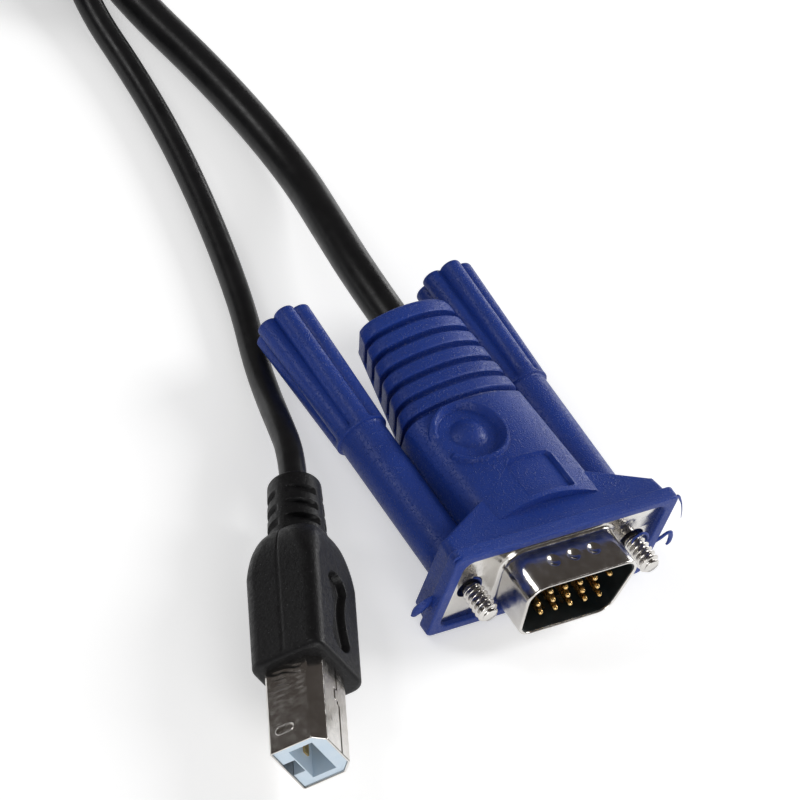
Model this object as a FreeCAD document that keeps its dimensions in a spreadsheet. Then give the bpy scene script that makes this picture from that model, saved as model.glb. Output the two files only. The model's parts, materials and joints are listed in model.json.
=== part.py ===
import FreeCAD, Part
import Sketcher
import os
from math import cos, pi, radians, sin, tan

# A two-cord switch cable: at each end a 15-pin video plug with two thumbscrews, and a data plug on the
# thinner cord. +Y runs from the near video plug's mating face to its cord, +Z is up, the floor is z = 0.
# The origin is on the floor under the middle of the near video plug.

sizes = {
    # video plug: mating face
    "plate_width": 30.81,
    "screw_inset": 2.91,
    "screw_spacing": "=plate_width - 2 * screw_inset",
    "plate_height": 12.55,
    "plate_thick": 0.8,
    "plate_corner": 1.6,
    "shroud_width": 17.7,
    "shroud_height": 9.15,
    "shroud_depth": 5.95,
    "shroud_corner": 2.4,
    "shroud_slope": 10.0,
    "shroud_sheet": 0.45,
    "dimple_radius": 1.1,
    "dimple_depth": 0.2,
    "dimple_pitch": 3.1,
    "dimple_from_plate": 2.6,
    "insulator_depth": 5.0,
    "insulator_clearance": 0.05,
    "pin_diameter": 0.76,
    "pin_pitch": 2.29,
    "pin_row_pitch": 1.98,
    "pin_reach": 4.95,
    "pin_hold": 3.6,
    "pin_point": 0.25,
    "pin_clearance": 0.02,
    # video plug: thumbscrews
    "screw_diameter": 2.84,
    "screw_reach": 4.45,
    "screw_runout": 0.8,
    "shank_diameter": 2.4,
    "screw_hold": 18.0,
    "screw_point": 0.45,
    "screw_hole": 3.6,
    "sleeve_diameter": 6.2,
    "sleeve_clearance": 0.2,
    "sleeve_gap": 0.4,
    "grip_start": 25.0,
    "grip_end": 44.2,
    "grip_front_diameter": 7.0,
    "grip_end_diameter": 8.0,
    "flute_count": 8,
    "flute_radius": 1.05,
    "flute_floor_diameter": 6.0,
    # video plug: moulded hood
    "rim_beside": 1.395,
    "rim_above": 1.125,
    "flange_width": "=plate_width + 2 * rim_beside",
    "flange_height": "=plate_height + 2 * rim_above",
    "flange_corner": 1.0,
    "flange_depth": 1.8,
    "rim_proud": 0.7,
    "rim_lip": 0.2,
    "barrel_gap": 0.695,
    "barrel_start": 3.9,
    "barrel_width": "=screw_spacing - sleeve_diameter - 2 * barrel_gap",
    "skirt_front_inset": 0.5,
    "skirt_tuck": 0.3,
    "skirt_end": 7.6,
    "skirt_end_width": "=barrel_width - 2 * skirt_tuck",
    "skirt_end_height": 11.6,
    "barrel_side_height": 9.8,
    "barrel_height": 14.6,
    "relief_start": 21.6,
    "relief_end": 39.0,
    "relief_draw": 3.2,
    "relief_end_width": "=barrel_width - 2 * relief_draw",
    "relief_end_side_height": 5.8,
    "relief_end_height": 10.8,
    "relief_end_aside": 2.0,
    "band_count": 6,
    "groove_width": 0.85,
    "groove_depth": 1.0,
    "disc_diameter": 8.8,
    "disc_depth": 0.4,
    "disc_aside": -3.5,
    "disc_from_plate": 17.3,
    "dome_diameter": 3.8,
    "dome_height": 0.9,
    "window_width": 6.2,
    "window_length": 6.0,
    "window_depth": 0.4,
    "window_aside": 1.1,
    "window_from_plate": 8.6,
    # square data plug on the near end of the thin cord
    "square_width": 8.0,
    "square_height": 7.26,
    "square_bevel": 1.4,
    "square_sheet": 0.3,
    "square_reach": 12.6,
    "square_hold": 4.0,
    "square_core_gap": 0.05,
    "square_core_set_back": 0.25,
    "square_cavity_width": 5.6,
    "square_cavity_height": 3.2,
    "square_cavity_depth": 9.0,
    "square_notch_width": 2.4,
    "square_notch_height": 1.6,
    "square_contact_width": 1.0,
    "square_contact_thick": 0.25,
    "square_contact_length": 6.5,
    "square_contact_pitch": 2.5,
    "oval_length": 2.2,
    "oval_width": 0.9,
    "oval_from_mouth": 2.9,
    "oval_aside": -1.2,
    "grip_block_width": 11.0,
    "grip_block_height": 10.0,
    "grip_block_corner": 1.8,
    "grip_block_straight": 15.6,
    "grip_block_shoulder": 19.8,
    "grip_block_end": 22.2,
    "shoulder_inset": 1.3,
    "grip_dent_length": 11.6,
    "grip_dent_width": 4.2,
    "grip_dent_waist": 2.6,
    "grip_dent_depth": 0.6,
    "grip_dent_middle": 8.2,
    # bar data plug on the far end of the thin cord
    "bar_width": 12.0,
    "bar_height": 4.5,
    "bar_sheet": 0.3,
    "bar_reach": 11.75,
    "bar_hold": 5.0,
    "bar_core_height": 1.84,
    "bar_core_gap": 0.05,
    "bar_core_set_back": 0.5,
    "bar_contact_width": 1.0,
    "bar_contact_thick": 0.2,
    "bar_contact_length": 7.0,
    "bar_contact_pitch": 2.2,
    "bar_hole": 2.4,
    "bar_hole_spacing": 5.2,
    "bar_hole_from_mouth": 5.6,
    "bar_block_width": 15.6,
    "bar_block_height": 8.0,
    "bar_block_corner": 1.6,
    "bar_block_straight": 14.5,
    "bar_block_shoulder": 18.0,
    "bar_block_end": 20.0,
    # boots of both data plugs
    "boot_length": 9.6,
    "boot_ledge": 0.35,
    "boot_diameter": 7.4,
    "boot_end_diameter": 6.6,
    "boot_rows": 3,
    "boot_slot_length": 4.4,
    "boot_slot_width": 1.1,
    "boot_slot_depth": 0.9,
    "boot_row_pitch": 2.4,
    "boot_first_row": 1.9,
    # cords, coil and ties
    "video_cord_diameter": 4.8,
    "data_cord_diameter": 3.4,
    "cord_inlet": 2.0,
    "coil_radius": 34.5,
    "coil_turn_pitch": 4.95,
    "coil_turns": 6.0,
    "coil_climb_turns": 0.3,
    "coil_layer_rise": 8.3,
    "coil_corner": 1.6,
    "tie_width": 4.0,
    "tie_thick": 0.8,
    "tie_clearance": 0.2,
    # places of the far pieces, the square plug and the coil
    "far_plug_x": -58.5,
    "far_plug_y": 184.9,
    "bar_plug_x": -48.5,
    "bar_plug_y": 70.0,
    "square_plug_x": -40.15,
    "square_plug_y": -24.56,
    "coil_x": -20.0,
    "coil_y": 129.0,
}

doc = FreeCAD.newDocument("switch_cable")
sheet = doc.addObject("Spreadsheet::Sheet", "sizes")
for row, (alias, number) in enumerate(sizes.items(), 1):
    sheet.set("A%d" % row, alias)
    sheet.set("B%d" % row, str(number))
    sheet.setAlias("B%d" % row, alias)
doc.recompute()

nodes = []


def size(alias):
    return float(getattr(sheet, alias))


# Sketches


def new_body(label):
    body = doc.addObject("PartDesign::Body", label)
    body.Label = label
    nodes.append(body)
    return body


def sketch_on(body, role, name, distance="0"):
    # A sketch on one of the body's own origin planes, moved along the plane's normal.
    plane = next(item for item in body.Origin.OriginFeatures if item.Role == role)
    sketch = body.newObject("Sketcher::SketchObject", name)
    sketch.AttachmentSupport = [(plane, "")]
    sketch.MapMode = "FlatFace"
    sketch.setExpression("AttachmentOffset.Base.z", distance)
    return sketch


def section(body, name, y):
    # A sketch across the plug's axis at the place y: its own x is the plug's x, its own y is up.
    return sketch_on(body, "XZ_Plane", name, "-(%s)" % y)


def bind(sketch, number, expression):
    sketch.setExpression("Constraints[%d]" % number, expression)


def draw_box(sketch, width, height, x="0", z="0"):
    # A rectangle about the point (x, z).
    corners = [(-1, -1), (1, -1), (1, 1), (-1, 1)]
    points = [FreeCAD.Vector(5 * a, 5 * b, 0) for a, b in corners]
    first = sketch.GeometryCount
    for start in range(4):
        sketch.addGeometry(Part.LineSegment(points[start], points[(start + 1) % 4]), False)
    for start in range(4):
        follower = first + (start + 1) % 4
        sketch.addConstraint(Sketcher.Constraint("Coincident", first + start, 2, follower, 1))
    for start in (0, 2):
        sketch.addConstraint(Sketcher.Constraint("Horizontal", first + start))
        sketch.addConstraint(Sketcher.Constraint("Vertical", first + start + 1))
    upright = first + 1
    bind(sketch, sketch.addConstraint(Sketcher.Constraint("DistanceX", first, 1, first, 2, 10)), width)
    bind(sketch, sketch.addConstraint(Sketcher.Constraint("DistanceY", upright, 1, upright, 2, 10)), height)
    low_x = "(%s) - (%s) / 2" % (x, width)
    low_z = "(%s) - (%s) / 2" % (z, height)
    bind(sketch, sketch.addConstraint(Sketcher.Constraint("DistanceX", -1, 1, first, 1, -5)), low_x)
    bind(sketch, sketch.addConstraint(Sketcher.Constraint("DistanceY", -1, 1, first, 1, -5)), low_z)


def draw_round_box(sketch, width, height, radius):
    # A rectangle about the axis with four round corners.
    lines = [((-4, -5), (4, -5)), ((5, -4), (5, 4)), ((4, 5), (-4, 5)), ((-5, 4), (-5, -4))]
    centres = [(4, -4), (4, 4), (-4, 4), (-4, -4)]
    up = FreeCAD.Vector(0, 0, 1)
    for start, end in lines:
        sketch.addGeometry(Part.LineSegment(FreeCAD.Vector(*start, 0), FreeCAD.Vector(*end, 0)), False)
    for turn, centre in enumerate(centres):
        circle = Part.Circle(FreeCAD.Vector(*centre, 0), up, 1)
        sketch.addGeometry(Part.ArcOfCircle(circle, (turn - 1) * pi / 2, turn * pi / 2), False)
    for turn in range(4):
        sketch.addConstraint(Sketcher.Constraint("Tangent", turn, 2, 4 + turn, 1))
        sketch.addConstraint(Sketcher.Constraint("Tangent", 4 + turn, 2, (turn + 1) % 4, 1))
    for line in (0, 2):
        sketch.addConstraint(Sketcher.Constraint("Horizontal", line))
    for line in (1, 3):
        sketch.addConstraint(Sketcher.Constraint("Vertical", line))
    for arc in (5, 6, 7):
        sketch.addConstraint(Sketcher.Constraint("Equal", 4, arc))
    sketch.addConstraint(Sketcher.Constraint("Symmetric", 0, 1, 2, 1, -1, 1))
    bind(sketch, sketch.addConstraint(Sketcher.Constraint("DistanceX", 3, 1, 1, 1, 10)), width)
    bind(sketch, sketch.addConstraint(Sketcher.Constraint("DistanceY", 0, 1, 2, 1, 10)), height)
    bind(sketch, sketch.addConstraint(Sketcher.Constraint("Radius", 4, 1)), radius)


def draw_circle(sketch, diameter, x="0", z="0"):
    middle = FreeCAD.Vector(1, 1, 0)
    circle = sketch.addGeometry(Part.Circle(middle, FreeCAD.Vector(0, 0, 1), 1), False)
    bind(sketch, sketch.addConstraint(Sketcher.Constraint("Diameter", circle, 2)), diameter)
    bind(sketch, sketch.addConstraint(Sketcher.Constraint("DistanceX", -1, 1, circle, 3, 1)), x)
    bind(sketch, sketch.addConstraint(Sketcher.Constraint("DistanceY", -1, 1, circle, 3, 1)), z)


def draw_closed(sketch, edges):
    # Lines and arcs whose ends already meet, each held where it is drawn.
    for edge in edges:
        sketch.addConstraint(Sketcher.Constraint("Block", sketch.addGeometry(edge, False)))


def polygon_edges(points):
    corners = [FreeCAD.Vector(x, z, 0) for x, z in points]
    return [Part.LineSegment(corners[i], corners[(i + 1) % len(corners)]) for i in range(len(corners))]


def rounded_edges(points, radius):
    # A closed outline of straight sides with every corner rounded alike.
    corners = [FreeCAD.Vector(x, z, 0) for x, z in points]
    edges = []
    for place, corner in enumerate(corners):
        arriving = (corner - corners[place - 1]).normalize()
        leaving = (corners[(place + 1) % len(corners)] - corner).normalize()
        turn = arriving.getAngle(leaving)
        back = radius * tan(turn / 2)
        inward = (leaving - arriving).normalize()
        middle = corner + inward * (radius / cos(turn / 2) - radius)
        edges.append(Part.Arc(corner - arriving * back, middle, corner + leaving * back))
    sides = []
    for place, arc in enumerate(edges):
        sides += [arc, Part.LineSegment(arc.EndPoint, edges[(place + 1) % len(edges)].StartPoint)]
    return sides


def barrel_edges(width, side_height, height, aside):
    # Upright sides with a bowed top and a bowed underside.
    left = aside - width / 2
    right = aside + width / 2
    side = side_height / 2
    low_right = FreeCAD.Vector(right, -side, 0)
    high_right = FreeCAD.Vector(right, side, 0)
    high_left = FreeCAD.Vector(left, side, 0)
    low_left = FreeCAD.Vector(left, -side, 0)
    return [
        Part.LineSegment(low_right, high_right),
        Part.Arc(high_right, FreeCAD.Vector(aside, height / 2, 0), high_left),
        Part.LineSegment(high_left, low_left),
        Part.Arc(low_left, FreeCAD.Vector(aside, -height / 2, 0), low_right),
    ]


# Features


def pad(body, sketch, length, forward=False):
    # Material from the sketch towards the plug's rear, or towards its mating face.
    feature = body.newObject("PartDesign::Pad", "pad")
    feature.Profile = sketch
    feature.setExpression("Length", length)
    feature.Reversed = not forward
    return feature


def pocket(body, sketch, depth, forward=False):
    # A cut from the sketch towards the plug's rear, or towards its mating face.
    before = settled_volume(body)
    feature = body.newObject("PartDesign::Pocket", "pocket")
    feature.Profile = sketch
    feature.setExpression("Length", depth)
    feature.Reversed = forward
    if settled_volume(body) >= before:
        raise RuntimeError("a pocket in %s cuts nothing" % body.Label)
    return feature


def settled_volume(body):
    doc.recompute()
    return body.Shape.Volume


def loft(body, sketches, ruled=True):
    feature = body.newObject("PartDesign::AdditiveLoft", "loft")
    feature.Profile = sketches[0]
    feature.Sections = sketches[1:]
    feature.Ruled = ruled
    return feature


def compound(label, pieces):
    group = doc.addObject("Part::Compound", label)
    group.Links = pieces
    group.Label = label
    nodes.append(group)
    return group


def stand(pieces, place):
    for piece in pieces:
        piece.Placement = place


# The 15-pin video plug, drawn with its plate's face at y = 0 and its rear towards +y


def shroud_edges(inset):
    # The tapered mating outline, wide side up, with round corners, moved inwards by the inset.
    slope = radians(size("shroud_slope"))
    top = size("shroud_height") / 2 - inset
    middle = size("shroud_width") / 2 - tan(slope) * size("shroud_height") / 2 - inset / cos(slope)
    low = middle - tan(slope) * top
    high = middle + tan(slope) * top
    corners = [(-low, -top), (low, -top), (high, top), (-high, top)]
    return rounded_edges(corners, size("shroud_corner") - inset)


def video_shell(label):
    # Pressed steel plate with the hollow shroud round the pins.
    body = new_body(label)
    plate = section(body, "plate", "0")
    draw_round_box(plate, "sizes.plate_width", "sizes.plate_height", "sizes.plate_corner")
    pad(body, plate, "sizes.plate_thick")
    outside = section(body, "shroud", "0")
    draw_closed(outside, shroud_edges(0))
    pad(body, outside, "sizes.shroud_depth", forward=True)
    inside = section(body, "mouth", "-sizes.shroud_depth")
    draw_closed(inside, shroud_edges(size("shroud_sheet")))
    pocket(body, inside, "sizes.shroud_depth + sizes.plate_thick")
    holes = section(body, "screw_holes", "0")
    for side in ("-", ""):
        draw_circle(holes, "sizes.screw_hole", side + "sizes.screw_spacing / 2")
    pocket(body, holes, "sizes.plate_thick")
    for count, face in ((3, 1), (2, -1)):
        for turn in range(count):
            ball = body.newObject("PartDesign::SubtractiveSphere", "dimple")
            ball.setExpression("Radius", "sizes.dimple_radius")
            lift = "sizes.shroud_height / 2 + sizes.dimple_radius - sizes.dimple_depth"
            ball.setExpression("Placement.Base.x", "sizes.dimple_pitch * %s" % (turn - (count - 1) / 2))
            ball.setExpression("Placement.Base.y", "-sizes.dimple_from_plate")
            ball.setExpression("Placement.Base.z", "%d * (%s)" % (face, lift))
    return body


def pin_places():
    # Three rows of five: the middle row stands half a pitch aside.
    places = []
    for row in (1, 0, -1):
        shift = -0.25 if row == 0 else 0.25
        for column in range(5):
            x = "sizes.pin_pitch * %s" % (column - 2 + shift)
            places.append((x, "sizes.pin_row_pitch * %d" % row))
    return places


def video_insulator(label):
    # Moulded block that fills the shroud's root and carries the pins.
    body = new_body(label)
    outline = section(body, "outline", "0")
    draw_closed(outline, shroud_edges(size("shroud_sheet") + size("insulator_clearance")))
    pad(body, outline, "sizes.insulator_depth")
    holes = section(body, "pin_holes", "0")
    for x, z in pin_places():
        draw_circle(holes, "sizes.pin_diameter + 2 * sizes.pin_clearance", x, z)
    pocket(body, holes, "sizes.pin_hold")
    return body


def video_pins(label):
    # Fifteen gold pins with tapered points.
    pins = []
    for x, z in pin_places():
        shaft = doc.addObject("Part::Cylinder", "pin_shaft")
        point = doc.addObject("Part::Cone", "pin_point")
        shaft.setExpression("Radius", "sizes.pin_diameter / 2")
        shaft.setExpression("Height", "sizes.pin_reach - sizes.pin_point + sizes.pin_hold")
        point.setExpression("Radius1", "sizes.pin_diameter / 2")
        point.setExpression("Radius2", "sizes.pin_diameter / 4")
        point.setExpression("Height", "sizes.pin_point")
        for piece, y in ((shaft, "sizes.pin_hold"), (point, "sizes.pin_point - sizes.pin_reach")):
            piece.Placement.Rotation = FreeCAD.Rotation(FreeCAD.Vector(1, 0, 0), 90)
            piece.setExpression("Placement.Base.x", x)
            piece.setExpression("Placement.Base.y", y)
            piece.setExpression("Placement.Base.z", z)
        pin = doc.addObject("Part::Fuse", "pin")
        pin.Base = shaft
        pin.Tool = point
        pins.append(pin)
    return compound(label, pins)


def turned(label, outline):
    # A round piece: an outline of (distance along y, radius) places, turned about the y axis.
    body = new_body(label)
    profile = sketch_on(body, "XY_Plane", "profile")
    draw_closed(profile, polygon_edges([(radius, y) for y, radius in outline]))
    feature = body.newObject("PartDesign::Revolution", "turn")
    feature.Profile = profile
    feature.ReferenceAxis = (profile, ["V_Axis"])
    feature.Angle = 360
    return body


def thumbscrew(knob_label, screw_label):
    # Steel screw in a long moulded knob with a fluted, flared grip.
    thread = size("screw_diameter") / 2
    tip = -size("screw_reach")
    held = size("screw_hold")
    point = size("screw_point")
    shank = size("shank_diameter") / 2
    runout = -size("screw_runout")
    threaded = [(tip, 0), (tip, thread - point), (tip + point, thread), (runout, thread)]
    screw = turned(screw_label, threaded + [(runout, shank), (held, shank), (held, 0)])
    front = size("plate_thick") + size("sleeve_gap")
    sleeve = size("sleeve_diameter") / 2
    ring = size("grip_start")
    end = size("grip_end")
    grip = size("grip_front_diameter") / 2
    flare = size("grip_end_diameter") / 2
    outside = [(front, shank), (front, sleeve), (ring, sleeve), (ring, grip), (end, flare), (end, 0)]
    knob = turned(knob_label, outside + [(held, 0), (held, shank)])
    flute = section(knob, "flute", "sizes.grip_start")
    draw_circle(flute, "2 * sizes.flute_radius", "0", "sizes.flute_floor_diameter / 2 + sizes.flute_radius")
    cut = pocket(knob, flute, "sizes.grip_end - sizes.grip_start")
    ringed = knob.newObject("PartDesign::PolarPattern", "flutes")
    ringed.Originals = [cut]
    ringed.Axis = (flute, ["N_Axis"])
    ringed.Angle = 360
    ringed.setExpression("Occurrences", "sizes.flute_count")
    knob.Tip = ringed
    return [knob, screw]


def hood_share(y):
    # How far along the hood a place lies, from 0 at the barrel's start to 1 at its end.
    return (y - size("barrel_start")) / (size("relief_end") - size("barrel_start"))


def between(front, rear, share):
    return size(front) + share * (size(rear) - size(front))


def hood_section(body, name, y, inset=0.0):
    # The hood's own outline at the place y, moved inwards by the inset. The rear leans a little aside.
    share = hood_share(y)
    width = between("barrel_width", "relief_end_width", share) - 2 * inset
    side_height = between("barrel_side_height", "relief_end_side_height", share) - 2 * inset
    height = between("barrel_height", "relief_end_height", share) - 2 * inset
    sketch = section(body, name, str(y))
    draw_closed(sketch, barrel_edges(width, side_height, height, share * size("relief_end_aside")))
    return sketch


def hood_top(x, y):
    # Height of the bowed top above the axis at a place.
    share = hood_share(y)
    half = between("barrel_width", "relief_end_width", share) / 2
    top = between("barrel_height", "relief_end_height", share) / 2
    bow = top - between("barrel_side_height", "relief_end_side_height", share) / 2
    radius = (half * half + bow * bow) / (2 * bow)
    aside = x - share * size("relief_end_aside")
    return top - radius + (radius * radius - aside * aside) ** 0.5


def video_hood(label):
    # Moulded hood: flange round the plate, sloped skirt, bowed barrel and banded strain relief.
    body = new_body(label)
    flange = section(body, "flange", "-sizes.rim_proud")
    draw_round_box(flange, "sizes.flange_width", "sizes.flange_height", "sizes.flange_corner")
    pad(body, flange, "sizes.rim_proud + sizes.flange_depth")
    skirt_front = section(body, "skirt_front", "sizes.flange_depth")
    inset = "2 * sizes.skirt_front_inset"
    draw_box(skirt_front, "sizes.flange_width - %s" % inset, "sizes.flange_height - %s" % inset)
    skirt_rear = section(body, "skirt_rear", "sizes.skirt_end")
    draw_box(skirt_rear, "sizes.skirt_end_width", "sizes.skirt_end_height")
    loft(body, [skirt_front, skirt_rear])
    start = size("barrel_start")
    split = size("relief_start")
    end = size("relief_end")
    loft(body, [hood_section(body, "barrel_front", start), hood_section(body, "barrel_rear", split)])
    sunk = size("groove_depth")
    loft(body, [hood_section(body, "core_front", split, sunk), hood_section(body, "core_rear", end, sunk)])
    count = int(size("band_count"))
    pitch = (end - split) / count
    for band in range(count):
        front = split + band * pitch + size("groove_width")
        rear = split + (band + 1) * pitch
        loft(body, [hood_section(body, "band_front", front), hood_section(body, "band_rear", rear)])
    opening = section(body, "rim_opening", "-sizes.rim_proud")
    lips = "2 * sizes.rim_lip"
    open_width = "sizes.plate_width - %s" % lips
    draw_round_box(opening, open_width, "sizes.plate_height - %s" % lips, "sizes.plate_corner")
    pocket(body, opening, "sizes.rim_proud")
    seat = section(body, "plate_seat", "0")
    draw_round_box(seat, "sizes.plate_width", "sizes.plate_height", "sizes.plate_corner")
    pocket(body, seat, "sizes.plate_thick")
    room = section(body, "insulator_room", "sizes.plate_thick")
    draw_box(room, "sizes.shroud_width", "sizes.shroud_height")
    pocket(body, room, "sizes.insulator_depth - sizes.plate_thick")
    bores = section(body, "screw_bores", "sizes.plate_thick")
    bore = "sizes.sleeve_diameter + 2 * sizes.sleeve_clearance"
    for side in ("-", ""):
        draw_circle(bores, bore, side + "sizes.screw_spacing / 2")
    pocket(body, bores, "sizes.skirt_end")
    inlet = section(body, "cord_inlet", "sizes.relief_end - sizes.cord_inlet")
    draw_circle(inlet, "sizes.video_cord_diameter", "sizes.relief_end_aside")
    pocket(body, inlet, "sizes.cord_inlet")
    return body


def sink_marks(hood):
    # The sunk disc with its dome, and the sunk window, on the barrel's top.
    disc_x = size("disc_aside")
    disc_y = size("disc_from_plate")
    floor = hood_top(disc_x, disc_y) - size("disc_depth")
    disc = sketch_on(hood, "XY_Plane", "disc", str(floor))
    draw_circle(disc, "sizes.disc_diameter", "sizes.disc_aside", "sizes.disc_from_plate")
    cut = hood.newObject("PartDesign::Pocket", "disc_sink")
    cut.Profile = disc
    cut.Length = size("barrel_height")
    cut.Reversed = True
    window_floor = hood_top(size("window_aside"), size("window_from_plate")) - size("window_depth")
    window = sketch_on(hood, "XY_Plane", "window", str(window_floor))
    window_middle = ("sizes.window_aside", "sizes.window_from_plate")
    draw_box(window, "sizes.window_width", "sizes.window_length", *window_middle)
    cut = hood.newObject("PartDesign::Pocket", "window_sink")
    cut.Profile = window
    cut.Length = size("barrel_height")
    cut.Reversed = True
    half = size("dome_diameter") / 2
    rise = size("dome_height")
    ball = hood.newObject("PartDesign::AdditiveSphere", "dome")
    ball.Radius = (half * half + rise * rise) / (2 * rise)
    ball.Placement.Base = FreeCAD.Vector(disc_x, disc_y, floor + rise - ball.Radius.Value)


def video_plug(end, place):
    hood = video_hood(end + "_video_hood")
    sink_marks(hood)
    pieces = [hood, video_shell(end + "_video_shell"), video_insulator(end + "_video_insulator")]
    pieces.append(video_pins(end + "_video_pins"))
    stand(pieces, place)
    for side, aside in (("left", -size("screw_spacing") / 2), ("right", size("screw_spacing") / 2)):
        screw_place = place.multiply(FreeCAD.Placement(FreeCAD.Vector(aside, 0, 0), FreeCAD.Rotation()))
        stand(thumbscrew("%s_%s_knob" % (end, side), "%s_%s_screw" % (end, side)), screw_place)


# The data plugs, drawn with the front of the grip block at y = 0


def boot(body, start, cord):
    # Tapered cuff round the cord, with rows of slots on four sides.
    front = section(body, "boot_front", start)
    draw_circle(front, "sizes.boot_diameter")
    rear = section(body, "boot_rear", "%s + sizes.boot_length" % start)
    draw_circle(rear, "sizes.boot_end_diameter")
    loft(body, [front, rear])
    slot_middle = "sizes.boot_diameter / 2"
    first_slot = "%s + sizes.boot_first_row - sizes.boot_slot_width / 2" % start
    for row in range(int(size("boot_rows"))):
        place = "%s + %d * sizes.boot_row_pitch" % (first_slot, row)
        slots = section(body, "boot_slots", place)
        for side in ("-", ""):
            draw_box(slots, "2 * sizes.boot_slot_depth", "sizes.boot_slot_length", side + slot_middle)
        pocket(body, slots, "sizes.boot_slot_width")
        slots = section(body, "boot_slots", place)
        for side in ("-", ""):
            draw_box(slots, "sizes.boot_slot_length", "2 * sizes.boot_slot_depth", "0", side + slot_middle)
        pocket(body, slots, "sizes.boot_slot_width")
    inlet = section(body, "cord_inlet", "%s + sizes.boot_length - sizes.cord_inlet" % start)
    draw_circle(inlet, cord)
    pocket(body, inlet, "sizes.cord_inlet")


def grip_block(body, kind):
    # Straight block with drawn-in shoulders at its rear.
    width = "sizes.%s_width" % kind
    height = "sizes.%s_height" % kind
    corner = "sizes.%s_corner" % kind
    narrow = "%s - 2 * sizes.shoulder_inset" % width
    lower = "%s - sizes.shoulder_inset" % height
    cuff = "sizes.boot_diameter + 2 * sizes.boot_ledge"
    full = (width, height)
    drawn_in = (narrow, lower)
    round_end = (cuff, cuff)
    stations = [("0", full), ("straight", full), ("shoulder", drawn_in), ("end", round_end)]
    for (front, front_size), (rear, rear_size) in zip(stations, stations[1:]):
        pair = []
        for name, outline in ((front, front_size), (rear, rear_size)):
            y = name if name == "0" else "sizes.%s_%s" % (kind, name)
            pair.append(section(body, "block", y))
            draw_round_box(pair[-1], outline[0], outline[1], corner)
        loft(body, pair)


def square_points(inset):
    # The square plug's outline: two corners of the upper side are bevelled.
    half = size("square_width") / 2 - inset
    top = size("square_height") / 2 - inset
    bevel = size("square_bevel") - inset * (2 - 2 ** 0.5)
    shoulder = top - bevel
    upper = [(half, shoulder), (half - bevel, top), (bevel - half, top), (-half, shoulder)]
    return [(-half, -top), (half, -top)] + upper


def square_plug(place):
    sheet_thick = size("square_sheet")
    block = new_body("square_plug_grip")
    grip_block(block, "grip_block")
    boot(block, "sizes.grip_block_end", "sizes.data_cord_diameter")
    seat = section(block, "shell_seat", "0")
    draw_closed(seat, polygon_edges(square_points(0)))
    pocket(block, seat, "sizes.square_hold")
    for floor in ("sizes.grip_block_height / 2 - sizes.grip_dent_depth", "-sizes.grip_block_height / 2"):
        dent = sketch_on(block, "XY_Plane", "grip_dent", floor)
        draw_closed(dent, dent_edges())
        cut = block.newObject("PartDesign::Pocket", "grip_dent")
        cut.Profile = dent
        cut.setExpression("Length", "sizes.grip_dent_depth")
        cut.Reversed = True
    shell = new_body("square_plug_shell")
    wall = section(shell, "wall", "-sizes.square_reach")
    draw_closed(wall, polygon_edges(square_points(0)))
    draw_closed(wall, polygon_edges(square_points(sheet_thick)))
    pad(shell, wall, "sizes.square_reach + sizes.square_hold")
    oval = sketch_on(shell, "YZ_Plane", "oval")
    half_long = (size("oval_length") - size("oval_width")) / 2
    oval_place = size("oval_from_mouth") - size("square_reach")
    draw_oval(oval, oval_place, size("oval_aside"), half_long, size("oval_width") / 2)
    cut = shell.newObject("PartDesign::Pocket", "oval")
    cut.Profile = oval
    cut.setExpression("Length", "2 * sizes.square_width")
    cut.Midplane = True
    core = new_body("square_plug_insulator")
    outline = section(core, "outline", "sizes.square_core_set_back - sizes.square_reach")
    draw_closed(outline, polygon_edges(square_points(sheet_thick + size("square_core_gap"))))
    pad(core, outline, "sizes.square_reach + sizes.square_hold - sizes.square_core_set_back")
    cavity = section(core, "cavity", "sizes.square_core_set_back - sizes.square_reach")
    draw_box(cavity, "sizes.square_cavity_width", "sizes.square_cavity_height")
    pocket(core, cavity, "sizes.square_cavity_depth")
    notch = section(core, "notch", "sizes.square_core_set_back - sizes.square_reach")
    wall_inside = "sizes.square_height / 2 - sizes.square_sheet"
    notch_middle = "sizes.square_notch_height / 2 - (%s)" % wall_inside
    draw_box(notch, "sizes.square_notch_width", "sizes.square_notch_height", "0", notch_middle)
    pocket(core, notch, "sizes.square_cavity_depth")
    strips = []
    cavity_rear = "sizes.square_core_set_back - sizes.square_reach + sizes.square_cavity_depth"
    front = "%s - sizes.square_contact_length" % cavity_rear
    on_floor = "-sizes.square_cavity_height / 2"
    under_roof = "sizes.square_cavity_height / 2 - sizes.square_contact_thick"
    for lift in (under_roof, on_floor):
        for place_in_row in (-0.5, 0.5):
            strips.append(contact_strip("square_contact", place_in_row, front, lift))
    contacts = compound("square_plug_contacts", strips)
    stand([block, shell, core, contacts], place)


def contact_strip(kind, place_in_row, front, lift):
    # A flat contact at its place in the row, counted in pitches from the plug's axis.
    strip = doc.addObject("Part::Box", "contact")
    strip.setExpression("Length", "sizes.%s_width" % kind)
    strip.setExpression("Width", "sizes.%s_length" % kind)
    strip.setExpression("Height", "sizes.%s_thick" % kind)
    middle = "%s * sizes.%s_pitch" % (place_in_row, kind)
    strip.setExpression("Placement.Base.x", "%s - sizes.%s_width / 2" % (middle, kind))
    strip.setExpression("Placement.Base.y", front)
    strip.setExpression("Placement.Base.z", lift)
    return strip


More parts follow.
